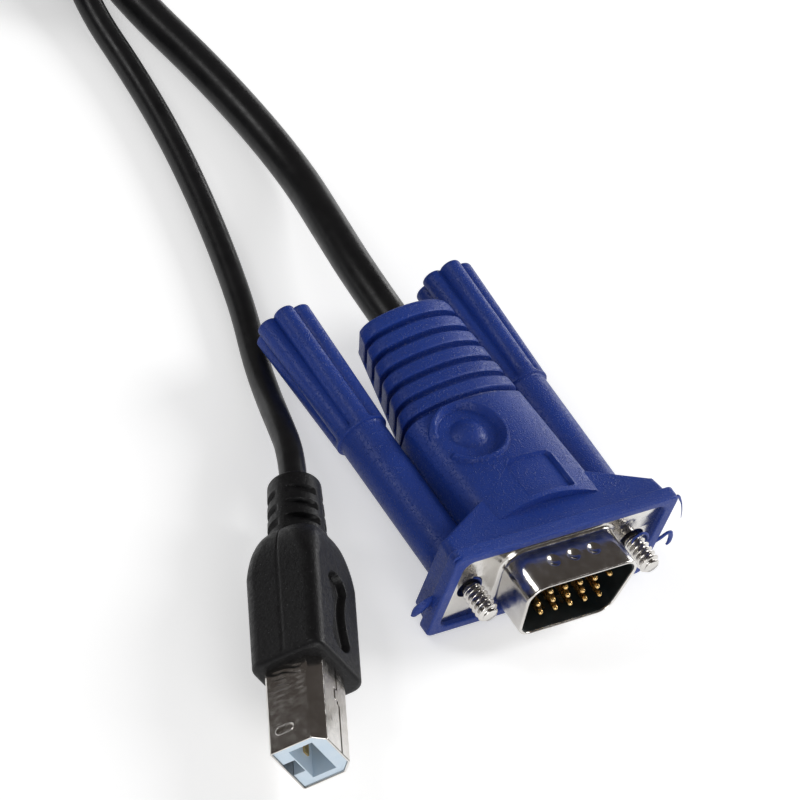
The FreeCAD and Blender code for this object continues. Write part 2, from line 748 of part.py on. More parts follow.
def dent_edges():
    # A finger dent with round ends and a drawn-in waist, symmetric about the plug's axis.
    ends = size("grip_dent_width") / 2
    waist = size("grip_dent_waist") / 2
    middle = size("grip_dent_middle")
    low = middle - size("grip_dent_length") / 2
    high = middle + size("grip_dent_length") / 2
    front_end = [(-ends, low + ends), (0, low), (ends, low + ends)]
    rear_end = [(ends, high - ends), (0, high), (-ends, high - ends)]
    places = front_end + [(waist, middle)] + rear_end + [(-waist, middle)]
    points = [FreeCAD.Vector(x, y, 0) for x, y in places]
    return [
        Part.Arc(points[0], points[1], points[2]),
        Part.Arc(points[2], points[3], points[4]),
        Part.Arc(points[4], points[5], points[6]),
        Part.Arc(points[6], points[7], points[0]),
    ]


def draw_oval(sketch, along, across, half_long, radius):
    # A slot lying across the plug: its own x is the plug's y, its own y is up.
    low = across - half_long
    high = across + half_long
    places = [(radius, low), (radius, high), (-radius, high), (-radius, low)]
    points = [FreeCAD.Vector(along + a, b, 0) for a, b in places]
    draw_closed(sketch, [
        Part.LineSegment(points[0], points[1]),
        Part.Arc(points[1], FreeCAD.Vector(along, high + radius, 0), points[2]),
        Part.LineSegment(points[2], points[3]),
        Part.Arc(points[3], FreeCAD.Vector(along, low - radius, 0), points[0]),
    ])


def bar_plug(place):
    block = new_body("bar_plug_grip")
    grip_block(block, "bar_block")
    boot(block, "sizes.bar_block_end", "sizes.data_cord_diameter")
    seat = section(block, "shell_seat", "0")
    draw_box(seat, "sizes.bar_width", "sizes.bar_height")
    pocket(block, seat, "sizes.bar_hold")
    shell = new_body("bar_plug_shell")
    wall = section(shell, "wall", "-sizes.bar_reach")
    draw_box(wall, "sizes.bar_width", "sizes.bar_height")
    draw_box(wall, "sizes.bar_width - 2 * sizes.bar_sheet", "sizes.bar_height - 2 * sizes.bar_sheet")
    pad(shell, wall, "sizes.bar_reach + sizes.bar_hold")
    windows = sketch_on(shell, "XY_Plane", "windows")
    window_y = "sizes.bar_hole_from_mouth - sizes.bar_reach"
    for side in ("-", ""):
        draw_box(windows, "sizes.bar_hole", "sizes.bar_hole", side + "sizes.bar_hole_spacing / 2", window_y)
    cut = shell.newObject("PartDesign::Pocket", "windows")
    cut.Profile = windows
    cut.setExpression("Length", "2 * sizes.bar_height")
    cut.Midplane = True
    core = new_body("bar_plug_insulator")
    tongue = section(core, "tongue", "sizes.bar_core_set_back - sizes.bar_reach")
    inner = "(sizes.bar_height / 2 - sizes.bar_sheet - sizes.bar_core_gap)"
    inner_width = "sizes.bar_width - 2 * (sizes.bar_sheet + sizes.bar_core_gap)"
    tongue_middle = "%s - sizes.bar_core_height / 2" % inner
    draw_box(tongue, inner_width, "sizes.bar_core_height", "0", tongue_middle)
    pad(core, tongue, "sizes.bar_reach + sizes.bar_hold - sizes.bar_core_set_back")
    root = section(core, "root", "0")
    draw_box(root, inner_width, "2 * " + inner)
    pad(core, root, "sizes.bar_hold")
    under_tongue = "%s - sizes.bar_core_height - sizes.bar_contact_thick" % inner
    strips = []
    for place_in_row in (-1.5, -0.5, 0.5, 1.5):
        strips.append(contact_strip("bar_contact", place_in_row, "-sizes.bar_contact_length", under_tongue))
    stand([block, shell, core, compound("bar_plug_contacts", strips)], place)


# Cords

arc_share = 0.45  # how much of the shorter run beside a corner its arc takes up


def cord_path(points):
    # Straight runs joined by tangent arcs as large as the shorter run beside each corner allows.
    corners = [FreeCAD.Vector(*point) for point in points]
    edges = []
    radii = []
    start = corners[0]
    for before, corner, after in zip(corners, corners[1:], corners[2:]):
        arriving = (corner - before).normalize()
        leaving = (after - corner).normalize()
        turn = arriving.getAngle(leaving)
        shorter = min(corner.distanceToPoint(before), corner.distanceToPoint(after))
        back = arc_share * shorter
        radius = back / tan(turn / 2)
        radii.append(radius)
        first = corner - arriving * back
        last = corner + leaving * back
        inward = (leaving - arriving).normalize()
        middle = corner + inward * (radius / cos(turn / 2) - radius)
        edges.append(Part.LineSegment(start, first).toShape())
        edges.append(Part.Arc(first, middle, last).toShape())
        start = last
    edges.append(Part.LineSegment(start, corners[-1]).toShape())
    return Part.Wire(edges), radii


def cord_tube(label, points, diameter):
    path, radii = cord_path(points)
    start = FreeCAD.Vector(*points[0])
    along = (FreeCAD.Vector(*points[1]) - start).normalize()
    ring = Part.Wire(Part.makeCircle(diameter / 2, start, along))
    tube = path.makePipeShell([ring], True, False)
    expected = pi * diameter ** 2 / 4 * path.Length
    if abs(tube.Volume / expected - 1) > 0.01:
        raise RuntimeError("%s has the wrong volume" % label)
    feature = doc.addObject("Part::Feature", label)
    feature.Label = label
    feature.Shape = tube
    nodes.append(feature)
    print(label, "length %.0f mm, radii" % path.Length, [round(radius, 1) for radius in radii])


def cord_coil(label, centre):
    # The outer shape of the wound cords: a flat ring with eased edges.
    layer_turns = (size("coil_turns") - size("coil_climb_turns")) / 2
    thick = size("video_cord_diameter") / 2
    outer = size("coil_radius") + thick
    inner = size("coil_radius") - layer_turns * size("coil_turn_pitch") - thick
    low = size("tie_thick")
    high = low + size("coil_layer_rise") + size("video_cord_diameter") + size("data_cord_diameter")
    ring = doc.addObject("Part::Cylinder", "coil_outside")
    ring.Radius = outer
    ring.Height = high - low
    hole = doc.addObject("Part::Cylinder", "coil_hole")
    hole.Radius = inner
    hole.Height = high - low
    cut = doc.addObject("Part::Cut", "coil_ring")
    cut.Base = ring
    cut.Tool = hole
    doc.recompute()
    eased = doc.addObject("Part::Fillet", label)
    eased.Base = cut
    corner = size("coil_corner")
    eased.Edges = [(i + 1, corner, corner) for i, edge in enumerate(cut.Shape.Edges) if edge.Closed]
    eased.Label = label
    eased.Placement = FreeCAD.Placement(FreeCAD.Vector(centre[0], centre[1], low), FreeCAD.Rotation())
    nodes.append(eased)
    return inner, outer, low, high


def coil_tie(label, centre, ring, side):
    # A flat band closed round the coil, on its far or near side. The coil rests on the band.
    inner, outer, low, high = ring
    gap = size("tie_clearance")
    thick = size("tie_thick")
    loops = []
    for name, margin in (("tie_outside", gap + thick), ("tie_inside", gap)):
        box = doc.addObject("Part::Box", name)
        base = low - (margin - gap)
        box.Length = size("tie_width")
        box.Width = outer - inner + 2 * margin
        box.Height = high + margin - base
        front = inner - margin if side > 0 else -outer - margin
        box.Placement.Base = FreeCAD.Vector(centre[0] - size("tie_width") / 2, centre[1] + front, base)
        loops.append(box)
    band = doc.addObject("Part::Cut", label)
    band.Base = loops[0]
    band.Tool = loops[1]
    band.Label = label
    nodes.append(band)


# The cable as it lies

axis_height = size("flange_height") / 2
plate_y = (size("shroud_depth") - size("grip_end")) / 2
near_plug = FreeCAD.Placement(FreeCAD.Vector(0, plate_y, axis_height), FreeCAD.Rotation())
video_plug("near", near_plug)

# The far video plug lies beyond the coil and faces -X.
far_front = FreeCAD.Vector(size("far_plug_x"), size("far_plug_y"), axis_height)
far_plug = FreeCAD.Placement(far_front, FreeCAD.Rotation(FreeCAD.Vector(0, 0, 1), -90))
video_plug("far", far_plug)

# The square plug lies on one lower edge of its grip block.
square_heading = 60.4
square_roll = 41.3
square_front = FreeCAD.Vector(size("square_plug_x"), size("square_plug_y"), 0)
corner = size("grip_block_corner")
tilt = radians(square_roll)
square_front.z = corner + (size("grip_block_width") / 2 - corner) * sin(tilt)
square_front.z += (size("grip_block_height") / 2 - corner) * cos(tilt)
heading = FreeCAD.Rotation(FreeCAD.Vector(0, 0, 1), square_heading - 90)
roll = FreeCAD.Rotation(FreeCAD.Vector(0, 1, 0), square_roll)
square_place = FreeCAD.Placement(square_front, heading.multiply(roll))
square_plug(square_place)

bar_front = FreeCAD.Vector(size("bar_plug_x"), size("bar_plug_y"), size("bar_block_height") / 2)
bar_place = FreeCAD.Placement(bar_front, FreeCAD.Rotation())
bar_plug(bar_place)

coil_centre = (size("coil_x"), size("coil_y"))
ring = cord_coil("cord_coil", coil_centre)
coil_tie("near_coil_tie", coil_centre, ring, -1)
coil_tie("far_coil_tie", coil_centre, ring, 1)

# Each cord starts at the bottom of its inlet in the plug.
hood_inlet = FreeCAD.Vector(size("relief_end_aside"), size("relief_end") - size("cord_inlet"), 0)
boot_inlet = size("boot_length") - size("cord_inlet")
square_inlet = FreeCAD.Vector(0, size("grip_block_end") + boot_inlet, 0)
bar_inlet = FreeCAD.Vector(0, size("bar_block_end") + boot_inlet, 0)

near_video_route = [
    tuple(near_plug.multVec(hood_inlet)),
    (2.2, 28.0, 7.2),
    (4.2, 38.5, 5.6),
    (6.8, 48.5, 3.2),
    (6.9, 59.0, 2.4),
    (5.2, 70.0, 2.5),
    (2.6, 81.0, 2.6),
    (1.5, 91.5, 2.8),
    (3.2, 102.0, 3.0),
    (7.8, 111.5, 3.2),
    (12.2, 120.8, 3.2),
]
near_data_route = [
    tuple(square_place.multVec(square_inlet)),
    (-22.47, 6.57, 6.65),
    (-19.9, 12.5, 4.9),
    (-17.2, 18.2, 2.7),
    (-14.9, 24.2, 1.75),
    (-11.9, 31.8, 1.75),
    (-9.1, 41.4, 1.75),
    (-6.8, 51.3, 1.75),
    (-5.0, 61.4, 1.75),
    (-4.0, 72.0, 1.75),
    (-4.1, 83.0, 2.3),
    (-2.9, 93.0, 4.6),
    (1.0, 102.5, 6.7),
    (6.6, 111.8, 7.3),
    (11.6, 120.8, 7.3),
]
far_video_route = [
    (14.5, 137.0, 11.4),
    (14.8, 145.4, 10.0),
    (14.7, 153.9, 7.6),
    (12.2, 162.5, 5.0),
    (7.7, 170.1, 3.4),
    (1.3, 176.3, 3.0),
    (-6.5, 180.6, 4.2),
    (-15.1, 182.7, 6.6),
    tuple(far_plug.multVec(hood_inlet)),
]
far_data_route = [
    (-54.5, 129.0, 10.7),
    (-54.6, 120.0, 8.2),
    (-52.9, 111.5, 5.4),
    (-50.2, 104.5, 4.3),
    tuple(bar_place.multVec(bar_inlet)),
]
video_cord = size("video_cord_diameter")
data_cord = size("data_cord_diameter")
cord_tube("near_video_cord", near_video_route, video_cord)
cord_tube("near_data_cord", near_data_route, data_cord)
cord_tube("far_video_cord", far_video_route, video_cord)
cord_tube("far_data_cord", far_data_route, data_cord)

doc.recompute()
for item in doc.Objects:
    if "Invalid" in item.State or "Error" in item.State:
        raise RuntimeError("%s failed: %s" % (item.Label, item.State))
for node in nodes:
    if node.Shape.isNull() or not node.Shape.isValid():
        raise RuntimeError("%s has no valid shape" % node.Label)

os.makedirs("parts", exist_ok=True)
for node in nodes:
    node.Shape.exportStep(os.path.join("parts", node.Label + ".step"))
    box = node.Shape.BoundBox
    low = "%.1f %.1f %.1f" % (box.XMin, box.YMin, box.ZMin)
    high = "%.1f %.1f %.1f" % (box.XMax, box.YMax, box.ZMax)
    solids = len(node.Shape.Solids)
    print(node.Label, "solids", solids, "volume %.2f" % node.Shape.Volume, "box", low, "to", high)
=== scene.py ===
import json
import math

import bmesh
import bpy
import numpy as np
from mathutils import Matrix, Vector

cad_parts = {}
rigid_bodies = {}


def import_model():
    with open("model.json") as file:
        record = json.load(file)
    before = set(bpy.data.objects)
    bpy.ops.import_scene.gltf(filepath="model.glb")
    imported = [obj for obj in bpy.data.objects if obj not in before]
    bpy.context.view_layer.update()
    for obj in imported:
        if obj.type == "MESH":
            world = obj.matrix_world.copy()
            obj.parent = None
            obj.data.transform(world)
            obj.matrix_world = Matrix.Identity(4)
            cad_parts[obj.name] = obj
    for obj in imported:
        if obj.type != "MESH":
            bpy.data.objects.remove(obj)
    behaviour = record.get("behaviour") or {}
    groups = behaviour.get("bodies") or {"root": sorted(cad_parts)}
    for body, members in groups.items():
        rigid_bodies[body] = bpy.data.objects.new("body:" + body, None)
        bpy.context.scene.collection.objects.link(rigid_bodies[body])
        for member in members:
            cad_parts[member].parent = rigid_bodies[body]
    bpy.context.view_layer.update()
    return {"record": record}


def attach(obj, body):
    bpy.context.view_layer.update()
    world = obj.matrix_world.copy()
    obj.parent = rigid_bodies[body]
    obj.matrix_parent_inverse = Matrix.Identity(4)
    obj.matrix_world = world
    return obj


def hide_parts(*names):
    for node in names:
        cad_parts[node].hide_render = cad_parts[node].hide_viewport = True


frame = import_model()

scene = bpy.context.scene
scene.view_settings.view_transform = "Standard"
mm = 0.001

# camera: long lens, from the left and in front, tilted to the right
cameraPose = {
    "place": (-0.556469, -0.434545, 0.692403),
    "right": (0.797236, -0.521049, 0.304832),
    "up": (0.224804, 0.724902, 0.651137),
    "back": (-0.560248, -0.450583, 0.695052),
    "lens": 360.0,
}
cameraData = bpy.data.cameras.new("camera")
cameraData.lens = cameraPose["lens"]
camera = bpy.data.objects.new("camera", cameraData)
scene.collection.objects.link(camera)
turn = Matrix((cameraPose["right"], cameraPose["up"], cameraPose["back"])).transposed()
camera.matrix_world = Matrix.Translation(Vector(cameraPose["place"])) @ turn.to_4x4()
scene.camera = camera

# cords: both run from their near plugs to the coil, round it, and on to their far plugs
videoCordPlan = {
    "diameter": 4.8,
    "lower": 3.2,
    "turns": 6.0,
    "near": [
        (2.0, 17.875, 7.4), (2.2, 28.0, 7.2), (4.2, 38.5, 5.6), (6.8, 48.5, 3.2), (6.9, 59.0, 2.4),
        (5.2, 70.0, 2.5), (2.6, 81.0, 2.6), (1.5, 91.5, 2.8), (3.2, 102.0, 3.0), (7.8, 111.5, 3.2),
        (12.2, 120.8, 3.2),
    ],
    "far": [
        (14.5, 137.0, 11.4), (14.8, 145.4, 10.0), (14.7, 153.9, 7.6), (12.2, 162.5, 5.0), (7.7, 170.1, 3.4),
        (1.3, 176.3, 3.0), (-6.5, 180.6, 4.2), (-15.1, 182.7, 6.6), (-21.5, 182.9, 7.4),
    ],
}
dataCordPlan = {
    "diameter": 3.4,
    "lower": 7.3,
    "turns": 6.5,
    "near": [
        (-25.43, 1.35, 6.65), (-22.47, 6.57, 6.65), (-19.9, 12.5, 4.9), (-17.2, 18.2, 2.7), (-14.9, 24.2, 1.75),
        (-11.9, 31.8, 1.75), (-9.1, 41.4, 1.75), (-6.8, 51.3, 1.75), (-5.0, 61.4, 1.75), (-4.0, 72.0, 1.75),
        (-4.1, 83.0, 2.3), (-2.9, 93.0, 4.6), (1.0, 102.5, 6.7), (6.6, 111.8, 7.3), (11.6, 120.8, 7.3),
    ],
    "far": [
        (-54.6, 120.0, 8.2), (-52.9, 111.5, 5.4), (-50.2, 104.5, 4.3), (-48.5, 97.6, 4.0),
    ],
}
coilPlan = {"centre": (-20.0, 129.0), "radius": 34.5, "pitch": 4.95, "layer": 2.85, "climb": 0.3, "rise": 8.3,
            "drop": 4.9, "dropTurns": 0.5, "steps": 16}
sweepPlan = {"order": 3, "along": 6, "around": 7}


def coilPoints(lower, total):
    # flat spiral inwards, a climb on the inmost turn, the same spiral outwards on top, then a gentle way down
    plan = coilPlan
    turns = np.linspace(0, total, int(total * plan["steps"]) + 1)
    layer = plan["layer"]
    inward = np.minimum(turns, layer)
    outward = np.clip(turns - layer - plan["climb"], 0, layer)
    radius = plan["radius"] - plan["pitch"] * (inward - outward)
    climbed = np.clip((turns - layer) / plan["climb"], 0, 1)
    past = np.clip((turns - 2 * layer - plan["climb"]) / plan["dropTurns"], 0, 1)
    height = lower + plan["rise"] * climbed - plan["drop"] * past
    angle = 2 * np.pi * turns
    x = plan["centre"][0] + radius * np.cos(angle)
    y = plan["centre"][1] + radius * np.sin(angle)
    return np.column_stack([x, y, height]).tolist()


def makeCord(name, plan):
    # a round section carried along one smooth spline whose control points are the route's
    points = plan["near"] + coilPoints(plan["lower"], plan["turns"]) + plan["far"]
    curve = bpy.data.curves.new(name, "CURVE")
    curve.dimensions = "3D"
    spline = curve.splines.new("NURBS")
    spline.points.add(len(points) - 1)
    flat = np.column_stack([np.array(points) * mm, np.ones(len(points))]).ravel()
    spline.points.foreach_set("co", flat)
    spline.order_u = sweepPlan["order"]
    spline.use_endpoint_u = True
    # the points carry the radius, so that the curve's box is the tube's
    spline.points.foreach_set("radius", np.full(len(points), plan["diameter"] / 2 * mm))
    curve.bevel_depth = 1.0
    curve.bevel_resolution = sweepPlan["around"]
    curve.resolution_u = sweepPlan["along"]
    curve.use_fill_caps = True
    cord = bpy.data.objects.new(name, curve)
    scene.collection.objects.link(cord)
    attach(cord, "cable")
    print("cord", name, len(points), "points")
    return cord


videoCord = makeCord("videoCord", videoCordPlan)
dataCord = makeCord("dataCord", dataCordPlan)
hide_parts("near_video_cord", "far_video_cord", "cord_coil")
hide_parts("near_data_cord", "far_data_cord")

# floor and light; each lamp is a disc aimed at the origin, with its place, width and power
stagePlan = {"floor": 4.0, "floorHeight": -0.0004, "paper": (0.8, 0.8, 0.8, 1), "lift": 0.45, "fill": 0.4,
             "room": (0.075, 0.066, 0.061, 1)}
lampPlans = {
    "keyLamp": ((1.05, -0.15, 0.62), 0.6, 8.5),
    "topLamp": ((-0.75, 0.58, 0.88), 0.4, 2.8),
    "frontLamp": ((-0.35, -1.1, 0.35), 0.6, 4.5),
    "sideLamp": ((1.2, 0.52, 0.18), 0.4, 2.0),
}


def wireNodes(tree, kinds, wires):
    # an emptied tree with one node of each named kind, and wires as (node, output, node, input)
    tree.nodes.clear()
    nodes = {name: tree.nodes.new("ShaderNode" + kind) for name, kind in kinds.items()}
    for source, output, target, socket in wires:
        tree.links.new(nodes[source].outputs[output], nodes[target].inputs[socket])
    return nodes


def makeFloor():
    # one square far larger than the view: white paper plus a glow that only the camera and reflections see
    half = stagePlan["floor"]
    z = stagePlan["floorHeight"]
    mesh = bpy.data.meshes.new("floor")
    mesh.from_pydata([(-half, -half, z), (half, -half, z), (half, half, z), (-half, half, z)], [], [(0, 1, 2, 3)])
    floor = bpy.data.objects.new("floor", mesh)
    scene.collection.objects.link(floor)
    material = bpy.data.materials.new("floorPaper")
    material.use_nodes = True
    kinds = {"output": "OutputMaterial", "paper": "BsdfDiffuse", "glow": "Emission", "rays": "LightPath",
             "seen": "Math", "strength": "Math", "both": "AddShader"}
    nodes = wireNodes(material.node_tree, kinds, [
        ("rays", "Is Camera Ray", "seen", 0), ("rays", "Is Glossy Ray", "seen", 1), ("seen", 0, "strength", 0),
        ("strength", 0, "glow", "Strength"), ("paper", 0, "both", 0), ("glow", 0, "both", 1),
        ("both", 0, "output", "Surface")])
    nodes["paper"].inputs["Color"].default_value = stagePlan["paper"]
    nodes["seen"].operation = "MAXIMUM"
    nodes["strength"].operation = "MULTIPLY"
    nodes["strength"].inputs[1].default_value = stagePlan["lift"]
    mesh.materials.append(material)


def makeWorld():
    # white to the camera and through glass, a dim warm room to reflections, a soft fill for the rest
    world = bpy.data.worlds.new("studio")
    scene.world = world
    world.use_nodes = True
    kinds = {"output": "OutputWorld", "rays": "LightPath", "fill": "Background", "room": "Background",
             "white": "Background", "seen": "Math", "mirrored": "MixShader", "choice": "MixShader"}
    nodes = wireNodes(world.node_tree, kinds, [
        ("rays", "Is Glossy Ray", "mirrored", 0), ("fill", 0, "mirrored", 1), ("room", 0, "mirrored", 2),
        ("rays", "Is Camera Ray", "seen", 0), ("rays", "Is Transmission Ray", "seen", 1), ("seen", 0, "choice", 0),
        ("mirrored", 0, "choice", 1), ("white", 0, "choice", 2), ("choice", 0, "output", "Surface")])
    nodes["fill"].inputs["Strength"].default_value = stagePlan["fill"]
    nodes["room"].inputs["Color"].default_value = stagePlan["room"]
    nodes["seen"].operation = "MAXIMUM"


def makeLamp(name, place, width, power):
    # a disc of light whose axis runs from its place to the origin
    data = bpy.data.lights.new(name, "AREA")
    data.shape = "DISK"
    data.size = width
    data.energy = power
    lamp = bpy.data.objects.new(name, data)
    lamp.location = place
    lamp.rotation_mode = "QUATERNION"
    lamp.rotation_quaternion = (-Vector(place)).to_track_quat("-Z", "Y")
    scene.collection.objects.link(lamp)


makeFloor()
makeWorld()
for lampName, lampPlan in lampPlans.items():
    makeLamp(lampName, *lampPlan)
print("stage ready")

# finishes: clouds of tint and gloss as (scale, low, high), bumps of grain as (scale, strength, metres)
finishPlans = {
    "blue_moulding": {
        "tint": (90, (0.011, 0.037, 0.24), (0.014, 0.047, 0.29)), "gloss": (2200, 0.34, 0.5), "shine": 0.34,
        "grain": [(4200, 0.4, 0.0001)], "specks": (4600, 0.6, 0.00014, (0.56, 0.7))},
    "black_moulding": {
        "tint": (5200, (0.006, 0.006, 0.007), (0.06, 0.06, 0.063)), "tintSpan": (0.7, 0.78), "tintDetail": 1,
        "gloss": (1500, 0.36, 0.55), "shine": 0.3, "grain": [(2600, 0.4, 0.0001)], "grainDetail": 3},
    "plated_steel": {
        "tint": (220, (0.6, 0.575, 0.545), (0.74, 0.725, 0.7)), "gloss": (900, 0.13, 0.26), "metallic": 1.0,
        "grain": [(330, 0.11, 0.0003), (2100, 0.09, 0.0001)]},
    "black_insulator": {
        "tint": (700, (0.006, 0.008, 0.009), (0.012, 0.018, 0.02)), "roughness": 0.4, "grain": [(1800, 0.15, 0.0001)]},
    "pale_insulator": {
        "tint": (500, (0.71, 0.85, 0.98), (0.77, 0.89, 1.0)), "roughness": 0.4, "grain": [(1600, 0.12, 0.0001)]},
    "gold_contact": {
        "tint": (900, (0.72, 0.44, 0.14), (0.9, 0.64, 0.3)), "gloss": (1500, 0.18, 0.34), "metallic": 1.0, "grain": []},
    "cord_jacket": {
        "tint": (260, (0.0065, 0.0065, 0.0075), (0.0105, 0.0105, 0.0115)), "gloss": (700, 0.3, 0.42), "shine": 0.35,
        "grain": [(1400, 0.14, 0.0001)], "grainDetail": 3},
    "tie_band": {
        "tint": (400, (0.014, 0.014, 0.015), (0.026, 0.026, 0.027)), "roughness": 0.5, "grain": [(1200, 0.2, 0.0001)]},
}
cloudSpan = (0.3, 0.7)


def addNoise(tree, scale, detail=2):
    # cloudy values over the piece's own place
    place = tree.nodes.new("ShaderNodeTexCoord")
    noise = tree.nodes.new("ShaderNodeTexNoise")
    noise.inputs["Scale"].default_value = scale
    noise.inputs["Detail"].default_value = detail
    tree.links.new(place.outputs["Object"], noise.inputs["Vector"])
    return noise.outputs["Fac"]


def addRange(tree, value, span, low=0.0, high=1.0):
    # a value's span stretched between two ends, and held there beyond it
    stretch = tree.nodes.new("ShaderNodeMapRange")
    for socket, end in zip(("From Min", "From Max", "To Min", "To Max"), (*span, low, high)):
        stretch.inputs[socket].default_value = end
    tree.links.new(value, stretch.inputs["Value"])
    return stretch.outputs["Result"]


def addTint(tree, value, span, low, high):
    # a value's span turned to colours between two ends
    ramp = tree.nodes.new("ShaderNodeValToRGB")
    for element, position, colour in zip(ramp.color_ramp.elements, span, (low, high)):
        element.position = position
        element.color = (*colour, 1)
    tree.links.new(value, ramp.inputs["Fac"])
    return ramp.outputs["Color"]


def addGrain(tree, value, strength, depth):
    # the value pushes the shading normal, and grain added later goes on top
    normal = tree.nodes["Principled BSDF"].inputs["Normal"]
    bump = tree.nodes.new("ShaderNodeBump")
    bump.inputs["Strength"].default_value = strength
    bump.inputs["Distance"].default_value = depth
    tree.links.new(value, bump.inputs["Height"])
    if normal.is_linked:
        tree.links.new(normal.links[0].from_socket, bump.inputs["Normal"])
    tree.links.new(bump.outputs["Normal"], normal)


def makeFinish(slot, plan):
    # one shader with clouds of tint and gloss, layers of grain, and specks at the peaks of one more cloud
    first, second = slot.split("_")
    material = bpy.data.materials.new(first + second.title())
    material.use_nodes = True
    tree = material.node_tree
    sockets = tree.nodes["Principled BSDF"].inputs
    sockets["Metallic"].default_value = plan.get("metallic", 0.0)
    sockets["Specular IOR Level"].default_value = plan.get("shine", 0.5)
    scale, low, high = plan["tint"]
    clouds = addNoise(tree, scale, plan.get("tintDetail", 2))
    tree.links.new(addTint(tree, clouds, plan.get("tintSpan", cloudSpan), low, high), sockets["Base Color"])
    if "gloss" in plan:
        scale, low, high = plan["gloss"]
        tree.links.new(addRange(tree, addNoise(tree, scale), cloudSpan, low, high), sockets["Roughness"])
    else:
        sockets["Roughness"].default_value = plan["roughness"]
    for scale, strength, depth in plan["grain"]:
        addGrain(tree, addNoise(tree, scale, plan.get("grainDetail", 2)), strength, depth)
    if "specks" in plan:
        scale, strength, depth, span = plan["specks"]
        addGrain(tree, addRange(tree, addNoise(tree, scale, 1), span), strength, depth)
    return material


finishes = {slot: makeFinish(slot, plan) for slot, plan in finishPlans.items()}
for row in frame["record"]["subparts"]:
    node = bpy.data.objects[row["node"]]
    node.data.materials.clear()
    node.data.materials.append(finishes[row["material_slot"]])
for cord in (videoCord, dataCord):
    cord.data.materials.append(finishes["cord_jacket"])
print("finishes ready")

# grids: every part is (places, quads), in the plug's own millimetres
mergeDistance = 2e-7


def gridPart(points):
    # quads between the neighbouring rows and columns of a grid of places, closed round each row
    rows, columns = points.shape[:2]
    index = np.arange(rows * columns).reshape(rows, columns)
    index = np.concatenate([index, index[:, :1]], axis=1)
    quads = np.stack([index[:-1, :-1], index[:-1, 1:], index[1:, 1:], index[1:, :-1]], axis=-1)
    return points.reshape(-1, 3), quads.reshape(-1, 4)


def fullTurn(count):
    # angles evenly spaced round a circle
    return np.linspace(0, 2 * np.pi, count, endpoint=False)


def roundRows(radius, y, angle):
    # rows about the y axis: x and z by the radius along each angle, y alike in each row
    x = radius * np.cos(angle)
    return np.stack([x, np.broadcast_to(y, x.shape), radius * np.sin(angle)], axis=-1)


def roundedRear(last, end, edge, steps, angle):
    # rows past the last one: its radius is drawn in along a quarter circle that ends at the rear
    turn = np.linspace(0, np.pi / 2, steps)[1:, None]
    return roundRows(last - edge * (1 - np.cos(turn)), end - edge + edge * np.sin(turn), angle)


def turnedPart(profile, around):
    # a profile of (y, radius) pairs turned about the y axis
    profile = np.asarray(profile, float)
    return gridPart(roundRows(profile[:, 1:], profile[:, :1], fullTurn(around)))


def moved(part, shift):
    # every place plus one shift
    return part[0] + np.asarray(shift, float), part[1]


def ease(value, low, high):
    # 0 below low, 1 above high, and between them three squares less two cubes of the share
    share = np.clip((value - low) / (high - low), 0, 1)
    return share * share * (3 - 2 * share)


def roundBox(halfWidth, halfHeight, corner, side, bend):
    # one loop of a box with round corners: upright and level sides evenly spaced, each corner a quarter circle
    corner = min(corner, halfWidth, halfHeight)
    x, z = halfWidth - corner, halfHeight - corner
    arc = np.linspace(0, np.pi / 2, bend, endpoint=False)
    loops = []
    for turn, (cx, cz, run) in enumerate(((x, -z, 2 * z), (x, z, 2 * x), (-x, z, 2 * z), (-x, -z, 2 * x))):
        angle = turn * np.pi / 2
        outward = np.array([np.cos(angle), np.sin(angle)])
        onward = np.array([-np.sin(angle), np.cos(angle)])
        step = np.linspace(0, 1, side[turn % 2], endpoint=False)
        loops.append(np.array([cx, cz]) + outward * corner + onward * (step * run)[:, None])
        bendAt = np.array([cx, cz]) + onward * run
        turned = angle + arc
        loops.append(bendAt + corner * np.column_stack([np.cos(turned), np.sin(turned)]))
    return np.concatenate(loops)


def stackLoops(rows, axis=1):
    # flat loops as rows of places, each put at its own place along one axis
    return np.stack([np.insert(loop, axis, at, axis=1) for at, loop in rows])


def loopRows(stations, side, bend):
    # box loops with round corners, one for each (y, half width, half height, corner)
    return gridPart(stackLoops([(y, roundBox(w, h, c, side, bend)) for y, w, h, c in stations]))


def cornerRows(y, wide, high, size, corner, first, steps):
    # stations on a quarter circle in y and both half sizes, from the first bearing in degrees
    turns = math.radians(first) + np.linspace(0, np.pi / 2, steps)
    return [(y + size * np.sin(a), wide + size * np.cos(a), high + size * np.cos(a), corner) for a in turns]


def polygonLoop(corners, radius, side, bend):
    # straight sides evenly spaced, corners rounded by arcs tangent to both sides
    corners = np.asarray(corners, float)
    ahead = np.roll(corners, -1, axis=0) - corners
    ahead = ahead / np.linalg.norm(ahead, axis=1)[:, None]
    back = np.roll(ahead, 1, axis=0)
    turn = np.arctan2(back[:, 0] * ahead[:, 1] - back[:, 1] * ahead[:, 0], (back * ahead).sum(1))
    reach = radius * np.tan(turn / 2)
    starts = corners - back * reach[:, None]
    left = np.column_stack([-back[:, 1], back[:, 0]])
    centres = starts + left * radius
    bearing = np.arctan2(-left[:, 1], -left[:, 0])
    angle = bearing[:, None] + turn[:, None] * np.linspace(0, 1, bend)
    arcs = centres[:, None] + radius * np.stack([np.cos(angle), np.sin(angle)], axis=-1)
    onward = np.roll(arcs[:, 0], -1, axis=0) - arcs[:, -1]
    runs = arcs[:, -1][:, None] + onward[:, None] * np.linspace(0, 1, side + 2)[1:-1][None, :, None]
    return np.concatenate([arcs, runs], axis=1).reshape(-1, 2)


